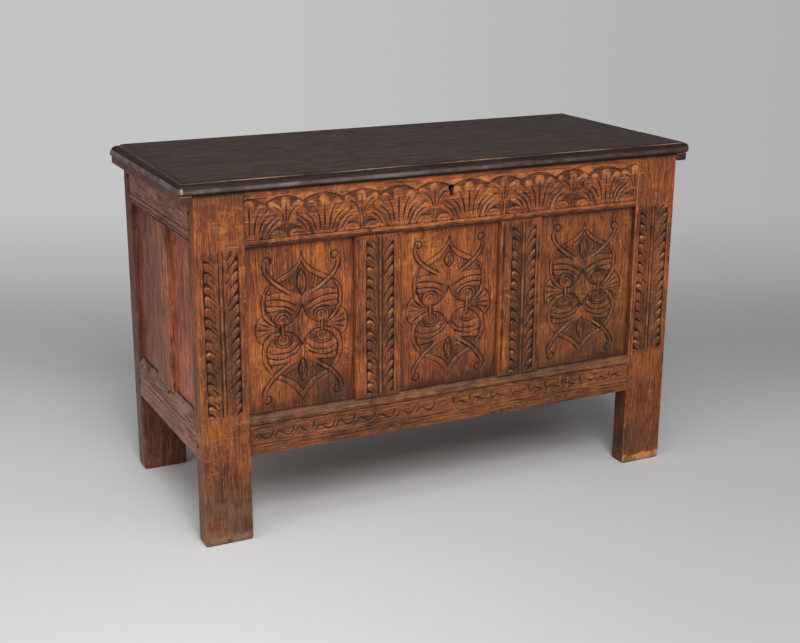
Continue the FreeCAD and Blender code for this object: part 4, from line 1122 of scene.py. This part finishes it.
leafCuts = {
    "pitch": 23.2, "fine": 1.1, "mouldRun": (640, 460, 278),
    # along each leaf's head, in from the outer edge: its height, how tall the cut above it is, how deep
    "in": (0, 3, 7, 11, 15, 20, 25, 31),
    "curved": {
        "head": (-1.5, 0.8, 1.2, -0.8, -4.5, -10, -16, -23),
        "tall": (12.5, 10, 7.4, 6.0, 4.8, 3.2, 2.2, 1.5),
        "deep": (4.2, 4.4, 4.0, 3.4, 2.9, 2.1, 1.4, 0.6),
    },
    "straight": {
        "head": (0.5, 0.8, -2.5, -6.5, -11, -16, -21, -27),
        "tall": (13, 10.5, 7.2, 5.6, 4.4, 3.0, 2.1, 1.5),
        "deep": (4.2, 4.4, 3.9, 3.3, 2.7, 1.9, 1.2, 0.5),
    },
    # the leg's foot: rows for its rounding and scuffs
    "footRows": (3.4, 4.8, 6.5, 8.5, 12.5, 15, 17.5, 22, 27),
}
leafBoards = {
    # runs: each run of leaves from its outer edge to its stem, and which of them curves
    "frontLeftStile": {
        "node": "front_left_stile", "runs": ((-562, -531), (-490, -522)), "curved": 0, "leaves": (286, 632),
        "mould": (-482.5,), "aged": 0.42, "seed": 0.4, "sideAge": (0, 0.9, 0, 0),
        "foot": {"wear": 0.45, "film": 0.85, "age": 0.40},
    },
    "frontRightStile": {
        "node": "front_right_stile", "runs": ((563, 528), (488, 519)), "curved": 1, "leaves": (286, 632),
        "mould": (482.0,), "aged": 0.56, "seed": 1.9, "sideAge": (0, 0, 0, 0.9),
        "foot": {"wear": 1.3, "film": 0.15, "age": 0.20},
    },
    "frontLeftMuntin": {
        "node": "front_left_muntin", "runs": ((-206, -179.5), (-144, -170)), "curved": 0,
        "leaves": (284, 628), "mould": (-224.0, -134.5), "aged": 0.42, "seed": 3.1, "wide": (-232, -127),
    },
    "frontRightMuntin": {
        "node": "front_right_muntin", "runs": ((147, 171), (207, 180.5)), "curved": 0,
        "leaves": (284, 628), "mould": (125.0, 214.5), "aged": 0.56, "seed": 4.6, "wide": (117, 222),
    },
}


def carveLeaves(relief, p):
    gu, gv, (low, high), pitch, seed = relief["gu"], relief["gv"], p["leaves"], leafCuts["pitch"], p["seed"]
    middle, within = (low + high) / 2, (gv > low) & (gv < high)
    pocket, crown, wear = (np.zeros(gu.shape) for _ in range(3))
    for c, (edge, stem) in enumerate(p["runs"]):
        shape = leafCuts["curved" if c == p["curved"] else "straight"]
        way, span, full = 1 if edge > stem else -1, abs(edge - stem), leafCuts["in"][-1]
        e = (edge - gu) * way
        strip = (e > 0) & (e < span - 0.5) & within
        e = e * full / max(span, full)
        head, tall, deep = (np.interp(e, leafCuts["in"], shape[k]) for k in ("head", "tall", "deep"))
        for k in range(-1, int((high - low) / pitch) + 3):
            # one leaf: the wood steps down over its head, and the cut runs out upwards
            z0 = low + 2 + k * pitch + 1.5 * math.sin(k * 2.4 + seed * 3 + c)
            size = 1 + 0.16 * math.sin(k * 1.7 + seed + 2 * c)
            over = gv - z0 - head
            hollow = deep * size * fall((over + 0.6) / 1.4) * fade(over / (tall * size), 1.25)
            pocket = np.where(strip, np.maximum(pocket, hollow), pocket)
            under = -over
            body = strip & (under > 0) & (under < pitch)
            rounded = 0.9 * fade(under / 3.0, 2) + 1.1 * np.clip((under - 8) / 15, 0, 1) ** 1.5
            crown = np.where(body, np.maximum(crown, rounded), crown)
            # a band under each leaf's head gets a painted highlight on the crest, which also stands for wear
            bright = 0.25 + 0.75 * (0.5 + 0.5 * math.sin(k * 5.1 + seed * 7 + 2.3 * c)) ** 1.5
            lit = bright * (fade(np.abs(under - 3.5) / 4.5) * fade(e / 19, 0.5))
            wear = np.where(body, np.maximum(wear, lit), wear)
            vein = beside(edge, -way, ((8, z0 - 8.5), (15, z0 - 13.5), (21, z0 - 20)))
            vein.append((stem + way * 3.5, z0 - 28))
            vein = [(x, min(max(z, low + 2), high - 1)) for x, z in vein]
            if vein[0][1] - vein[-1][1] > 6:
                groove(relief, vein, [1.0, 1.8, 1.9, 1.3], 1.2 + 0.4 * math.sin(k * 2.9 + seed + c), 0.2, 2.0)
        crown = np.where(strip, crown + 1.3 * fade(e / 3.5, 2), crown)
        line = [(edge, low + 4), (edge + way * 0.8, middle), (edge, high - 3)]
        groove(relief, line, [1.6, 2.2, 1.5, 2.2, 1.6], 1.7, 0.02, 1.5)
    (outer, stemA), (inner, stemB) = p["runs"]
    left, right = sorted((outer, inner))
    carved = fall((gu - left + 2) / 4) * fall((right + 2 - gu) / 4)
    carved *= fall((gv - low + 6) / 8) * fall((high + 4 - gv) / 8)
    relief["pocket"], relief["soft"] = pocket, np.maximum(relief["soft"], crown)
    relief["age"] = p["aged"] * carved * (1 - 0.9 * wear)
    relief["wear"] = np.maximum(wear, 0.6 * fade(np.abs(gu - (stemA + stemB) / 2) / 3.2) * within)
    for x in (stemA, stemB):
        groove(relief, [(x, low - 6), (x + 0.6, middle), (x, high + 4)], 1.8, 1.6, 0.02, 2.0)
    for x in p["mould"]:
        # a small run moulding beside the panels
        line = [(x + off, z) for off, z in zip((0, 0.5, 0), leafCuts["mouldRun"])]
        groove(relief, line, [1.0, 1.5, 1.2, 1.5, 1.0], 1.1, 0.03, 1.5)


def scuffFoot(relief, foot, seed):
    # the foot of the leg is scuffed and rounded, and dirty where it meets the ground
    gu, gv = relief["gu"], relief["gv"]
    ragged = 1.2 * np.sin(gu / 7 + seed) + 0.8 * np.sin(gu / 2.9)
    relief["wear"] = np.maximum(relief["wear"], foot["wear"] * fall((24 + ragged - gv) / 7))
    relief["film"] = foot["film"] * (0.4 * fall((170 - gv) / 100) + 0.6 * fall((26 + 2 * ragged - gv) / 18))
    relief["age"] += foot["age"] * fall((125 - gv) / 50) * fall((gv - 14) / 18) + 0.3 * fall((gv - 700) / 30)
    relief["soft"] += 3.2 * fade(gv / (9 + ragged), 2)
    # a painted shadow line lies along the top under the lid, and dirt where the foot meets the ground
    relief["grime"] = np.maximum(fall((gv - lidShadowLine) / 2.0), fall((3.4 - gv) / 2.4))


def makeLeafBoard(name, p):
    spans, isMuntin = faceSpan(p["node"], "front"), "wide" in p
    how = {"edges": (0.3, 0.3, -0.7, -0.7)}
    if isMuntin:
        tall, spans[0], spans[1] = spans[1], p["wide"], opening
        across = (p["wide"][0] + 8, p["wide"][1] - 8)
        heights = ((tall[0], opening[0]), (opening[1], tall[1]))
        how["blocks"] = [(across, up, tenonDeep(spans)) for up in heights]
    left, right = sorted(edge for edge, _ in p["runs"])
    us = gridLines(*spans[0], (left - 3, right + 3), leafCuts["fine"], 8.0)
    vs = gridLines(*spans[1], (p["leaves"][0] - 8, p["leaves"][1] + 6), leafCuts["fine"], 10.0)
    relief = newRelief(us, vs if isMuntin else moreRows(vs, leafCuts["footRows"]))
    carveLeaves(relief, p)
    if isMuntin:
        # the foot of each muntin was never rubbed clean
        relief["age"] += 0.8 * fall((300 - relief["gv"]) / 16)
    else:
        scuffFoot(relief, p["foot"], p["seed"])
        # the leg's inner side and back were never polished, and the inner side also gets painted shade from
        # the chest
        how = {"edges": (0.55, 0.55, 0, -0.5), "lowAge": 0.44, "sideAge": p["sideAge"], "backAge": 0.6}
        how["corners"] = (7, 6, 2, 2)
    fitBoard(hewnBoard(name, "front", spans, relief, arris=2.2, **how), p["node"], "front", "z")


for leafName, leafBoard in leafBoards.items():
    makeLeafBoard(leafName, leafBoard)
print("chest: stiles and muntins carved")


sideWork = {
    "topLines": (652.0, 660.0, 672.0), "step": 660.0, "lowLines": (258.0, 247.0, 232.0),
    "bevel": (268.5, 9.0), "filmed": 0.75, "panelFoot": (280.0, 306.0),
}


def scratchTop(relief, spans):
    for z in sideWork["topLines"]:
        runGroove(relief, spans[0], z, 2.0, 1.8)
    relief["sunk"] = np.maximum(relief["sunk"], 1.4 * fall((sideWork["step"] - relief["gv"]) / 2.0))


def scratchLow(relief, spans):
    for z in sideWork["lowLines"]:
        runGroove(relief, spans[0], z, 1.5, 0.75)
    start, depth = sideWork["bevel"]
    # the bevel gets a grey film: dust with a painted sheen
    relief["film"] = sideWork["filmed"] * fall((relief["gv"] - start + 1) / 2)
    relief["soft"] += np.clip((relief["gv"] - start) / (spans[1][1] - start), 0, 1) * depth


def dirtyFoot(relief, spans):
    # dust and old polish lie where each panel goes down behind its rail
    low, high = sideWork["panelFoot"]
    relief["grime"] = 0.75 * fall((low + 7 - relief["gv"]) / 4)
    relief["age"] = 0.55 * fall((high - relief["gv"]) / (high - low))


sidePanel = {"grain": "z", "work": dirtyFoot, "band": sideWork["panelFoot"], "arris": 1.5}
sideBoards = {
    "top_rail": {"grain": "y", "work": scratchTop, "band": (650.0, 676.0), "trim": {1: (648, railTop)}},
    "bottom_rail": {
        "grain": "y", "work": scratchLow, "band": (226.0, 280.0), "trim": {1: (railFoot, 280)},
        "filmed": 0.42,
    },
    "muntin": {"grain": "z", "trim": {1: (280, 648)}, "arris": 2.4},
    "front_panel": sidePanel,
    "rear_panel": sidePanel,
}
for way in ("left", "right"):
    # between the stiles, as the rails are seen
    stiles = [end for which in ("front", "rear") for end in faceSpan("%s_%s_stile" % (which, way), way)[0]]
    between = sorted(stiles)[1:3]
    for piece, how in sideBoards.items():
        if "rail" in piece:
            how = {**how, "trim": {0: between, **how["trim"]}}
        plainBoard("%s_side_%s" % (way, piece), joined("side", way, piece), way, "side", **how)
print("chest: sides made")

rearStiles = {
    "left": {"sideAge": (0.6, 0, 0, 0.9), "corners": (6, 9, 2, 2)},
    "right": {"sideAge": (0.6, 0.9, 0, 0), "corners": (9, 6, 2, 2)},
}
rearBoards = []
for way, how in rearStiles.items():
    rearBoards.append((way + "_stile", "z", {"arris": 2.4, "backAge": 0.6, "lowAge": 0.6, **how}))
    rearBoards.append((way + "_muntin", "z", {"trim": {1: opening}}))
rearBoards += [(way + "_panel", "z", {"arris": 1.5}) for way in ("left", "centre", "right")]
rearBoards.append(("top_rail", "x", {"trim": {0: shoulders, 1: topRail["tall"]}}))
rearBoards.append(("bottom_rail", "x", {"trim": {0: shoulders, 1: lowRail["tall"]}}))
for piece, grain, how in rearBoards:
    plainBoard("rear_" + piece, joined("rear", piece), "rear", "side", grain, **how)

for k in range(1, 6):
    plainBoard("floor_board_%d" % k, "floorBoard%d" % k, "top", "floor", "y", coarse=30.0)
print("chest: back and floor made")


lidBoard = {
    "node": "lid_board", "step": 11.6, "fillet": 9.4, "stepDeep": 2.0, "thumbDeep": 13.4, "leftSpread": 17.0,
    # lines in from an edge, for the step and the nose
    "nose": [
        0, 0.04, 0.15, 0.35, 0.7, 1.2, 1.8, 2.5, 3.4, 4.5, 5.8, 7.2, 8.3, 9.0, 9.6, 10.2, 10.7, 11.2, 11.7,
        12.3, 13, 15, 18, 22, 26,
    ],
    # how strongly the painted reflection greys the nose along its length
    "noseSheenAt": (-610, -350, 0, 400, 610), "grey": (1.2, 1.2, 0.80, 0.34, 0.28),
    "how": {
        "arris": 0.5, "underside": 5.0, "insets": (1, 1, 1, 0.1), "edges": (0, 0, 0, 0), "ringWear": 0.03,
        "bulge": 1.0, "corners": (11, 9, 14, 9), "haze": 0.0,
    },
}


def mouldLid(relief, spans, b):
    # flat field, a small step, then a slope that turns over into the nose
    (u0, u1), (v0, v1), _ = spans
    gu, gv, step, fillet = relief["gu"], relief["gv"], b["step"], b["fillet"]
    widened = step / (step + b["leftSpread"] * np.clip((gv - v0) / (v1 - v0), 0, 1))
    edge = np.minimum(np.minimum((gu - u0) * widened, u1 - gu), gv - v0)
    thumb = np.clip((fillet - edge) / fillet, 0, 1)
    relief["soft"] = b["stepDeep"] * fall((step - edge) / 1.3)
    relief["soft"] += b["thumbDeep"] * (1 - np.sqrt(1 - thumb ** 2))
    relief["soft"] += 0.8 * fall((17 - edge) / 5)
    # the step is rubbed to a thin pale line, and one corner has a pale spot
    line = 0.66 * np.clip(1.2 - np.abs(edge - step + 1.2) / 1.5, 0, 1) * (0.8 + 0.2 * np.sin(gu / 41))
    paleSpot = 1.2 * np.clip(1.25 - np.hypot(gu - u0 - 7, gv - v0) / 5, 0, 1) * fall((1.9 - edge) / 1.4)
    relief["wear"] = np.maximum(line, paleSpot)
    # a painted reflection greys the nose, most to the left
    patchy = 0.8 + 0.2 * np.sin(gu / 37 + 0.6 * np.sin(gu / 11))
    atFront = gv - v0 < (gu - u0) * widened
    relief["film"] = np.where(atFront, fall((0.42 - edge) / 0.38), fall((1.9 - edge) / 0.6))
    relief["film"] *= np.interp(gu, b["noseSheenAt"], b["grey"]) * patchy
    # painted shade: a dark band on the slope below the step, and the field darker to the right, where it
    # catches less sheen; the band just inside the step is darker too
    dark = fall((step - 1.8 - edge) / 1.2) * fall((edge - 0.5) / 1.0)
    byStep = 0.75 * fall((edge - step) / 1.5) * fall((24 - edge) / 9)
    relief["age"] = 0.95 * dark + byStep + 0.5 * fall((gu - 60) / 420) * (edge > step)
    relief["grime"] = 0.30 * dark


def makeLid(b):
    spans = faceSpan(b["node"], "top")
    (u0, u1), (v0, v1), _ = spans
    left = b["nose"][:6] + list(np.arange(1.8, 36, 0.55))
    us = [u0 + n for n in left] + list(np.linspace(u0 + 40, u1 - 40, 60)) + [u1 - n for n in b["nose"][::-1]]
    vs = [v0 + n for n in b["nose"]] + list(np.linspace(v0 + 40, v1 - 8, 30))
    vs += [v1 - n for n in (4, 2, 0.8, 0)]
    relief = newRelief(np.array(us), np.array(vs))
    mouldLid(relief, spans, b)
    fitBoard(hewnBoard("lidBoard", "top", spans, relief, **b["how"]), b["node"], "lid", "x")


makeLid(lidBoard)
cleatWork = {"coarse": 10.0, "arris": 2.5, "corners": (3, 3, 3, 3), "underside": 3.0}
for way, endAge in (("left", 0), ("right", 0.3)):
    how = {**cleatWork, "sideAge": (1.6, endAge, 0, 0)}
    plainBoard(way + "_lid_cleat", joined("lid_cleat", way), "top", "cleat", "y", **how)
print("chest: lid moulded")


# how far the edges of the lock's pieces are eased, in mm; other ironwork is plainer
lockBevels = {
    "lock_plate": 0.5, "lock_case": 0.8, "key_post": 0.3, "bolt_guides": 0.4, "bolt_spring": 0.2,
    "lock_bolt": 0.6,
}
pegOak = oakFinish("pegOak", "peg", "y", 77)
shown = {o.name for o in bpy.data.objects if o.type == "MESH" and not o.hide_render}
for nodeName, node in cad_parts.items():
    if nodeName not in shown:
        continue
    finish, bevel = iron["forgedIron"], 0.4
    if nodeName.endswith("_pegs"):
        finish, bevel = pegOak, 0.5
    elif nodeName in lockBevels:
        finish, bevel = iron["lockIron"], lockBevels[nodeName]
    node.data.materials.clear()
    node.data.materials.append(finish)
    ease = node.modifiers.new("easedEdges", "BEVEL")
    ease.width, ease.segments = bevel * mm, 2
    ease.limit_method, ease.angle_limit = "ANGLE", math.radians(35)
    ease.use_clamp_overlap = True
print("chest: pegs and ironwork finished")


studio = {
    "start": (-1.3552, -2.73935, 0), "ahead": (0.4428, 0.8966, 0), "across": (0.8966, -0.4428, 0),
    # where the paper lies flat, where it turns up and where it stands: how far out, and its grey, darker
    # where it turns up as painted shade
    "greys": ((3.2, 207), (4.5, 174), (6.2, 196)), "shade": 0.78, "shaded": (-0.20, 0.34), "nearest": 1.2,
    "plain": (200, 200, 201), "apart": (0.35, 0.85), "behind": (1.3, 2.1, 1, 0),
    "far": (3.7, 4.9), "round": (2.6, 4.4),
    "radius": 40, "sides": 96,
}


def paperLook(tree, place):
    s = studio
    offset = vectors(tree, "SUBTRACT", place, s["start"])
    out = sums(tree, vectors(tree, "DOT_PRODUCT", offset, s["ahead"]), s["nearest"], how="MAXIMUM")
    side = vectors(tree, "DOT_PRODUCT", offset, s["across"])
    reach = [math.log(far) for far, _ in s["greys"]]
    scaled = rise(tree, sums(tree, out, math.e, how="LOGARITHM"), reach[0], reach[-1], how="LINEAR")
    full = reach[-1] - reach[0]
    stops = [((r - reach[0]) / full, (grey,) * 3) for r, (_, grey) in zip(reach, s["greys"])]
    ratio = sums(tree, side, out, how="DIVIDE")
    shade = (s["shade"],) * 3 + (1.0,)
    colour = colourRamp(tree, scaled, stops, "EASE")
    colour = blendColour(tree, rise(tree, ratio, *s["shaded"]), colour, shade, "MULTIPLY")
    # away from the middle of the paper the grey is plain
    apart = rise(tree, sums(tree, ratio, how="ABSOLUTE"), *s["apart"])
    apart = sums(tree, apart, rise(tree, out, *s["behind"]), how="MAXIMUM")
    colour = blendColour(tree, apart, colour, paint(*s["plain"]))
    # seen straight from the camera, the paper far behind the chest glows with its greys, painted shade
    # included, and shows no shadow
    away = rise(tree, vectors(tree, "LENGTH", place), *s["round"])
    away = sums(tree, rise(tree, out, *s["far"]), away, how="MAXIMUM")
    share = times(tree, tree.nodes.new("ShaderNodeLightPath").outputs["Is Camera Ray"], away)
    glow = addNode(tree, "Emission", None, Color=colour).outputs[0]
    matt = tree.nodes["Principled BSDF"].outputs[0]
    both = addNode(tree, "MixShader", None, i0=share, i1=matt, i2=glow).outputs[0]
    tree.links.new(both, tree.nodes["Material Output"].inputs[0])
    return {"Base Color": colour, "Roughness": 0.9, "Specular IOR Level": 0.2}


def layPaper(sides, radius):
    mesh = bpy.data.meshes.new("studioFloor")
    edge = arc(0, 0, radius, radius, 0, 2 * math.pi, sides + 1)[:-1]
    corners = [(0, k + 1, (k + 1) % sides + 1) for k in range(sides)]
    mesh.from_pydata([(0, 0, 0)] + [(x, y, 0) for x, y in edge], [], corners)
    mesh.materials.append(newFinish("studioPaper", paperLook))
    addObject("studioFloor", mesh)


lamps = {
    "keyLamp": {"at": (-1.1, -3.4, 3.2), "aim": (0, 0, 0.4), "size": 1.8, "power": 128.0},
    "sideLamp": {"at": (-3.3, -1.3, 2.2), "aim": (0, 0, 0.4), "size": 2.4, "power": 34.0},
    "fillLamp": {"at": (2.2, -3.2, 1.9), "aim": (0, 0, 0.3), "size": 2.0, "power": 14.0},
    "topLamp": {"at": (-0.7, -1.9, 3.3), "aim": (0, -0.2, 0.2), "size": 2.2, "power": 42.0},
}
room = {"light": 0.25, "air": (0.97, 0.97, 1.0, 1), "wall": (196, 196, 197)}


def setLights():
    for name, lamp in lamps.items():
        data = bpy.data.lights.new(name, "AREA")
        data.shape, data.size, data.energy = "SQUARE", lamp["size"], lamp["power"]
        light = addObject(name, data)
        light.location = lamp["at"]
        light.rotation_euler = (Vector(lamp["aim"]) - Vector(lamp["at"])).to_track_quat("-Z", "Y").to_euler()
    world = bpy.data.worlds.new("studioRoom")
    world.use_nodes = True
    tree = world.node_tree
    seen = tree.nodes.new("ShaderNodeLightPath").outputs["Is Camera Ray"]
    wall = tuple(c / room["light"] for c in paint(*room["wall"])[:3]) + (1.0,)
    background = tree.nodes["Background"].inputs
    tree.links.new(blendColour(tree, seen, room["air"], wall), background[0])
    background[1].default_value = room["light"]
    bpy.context.scene.world = world


layPaper(studio["sides"], studio["radius"])
setLights()
print("chest: studio set")
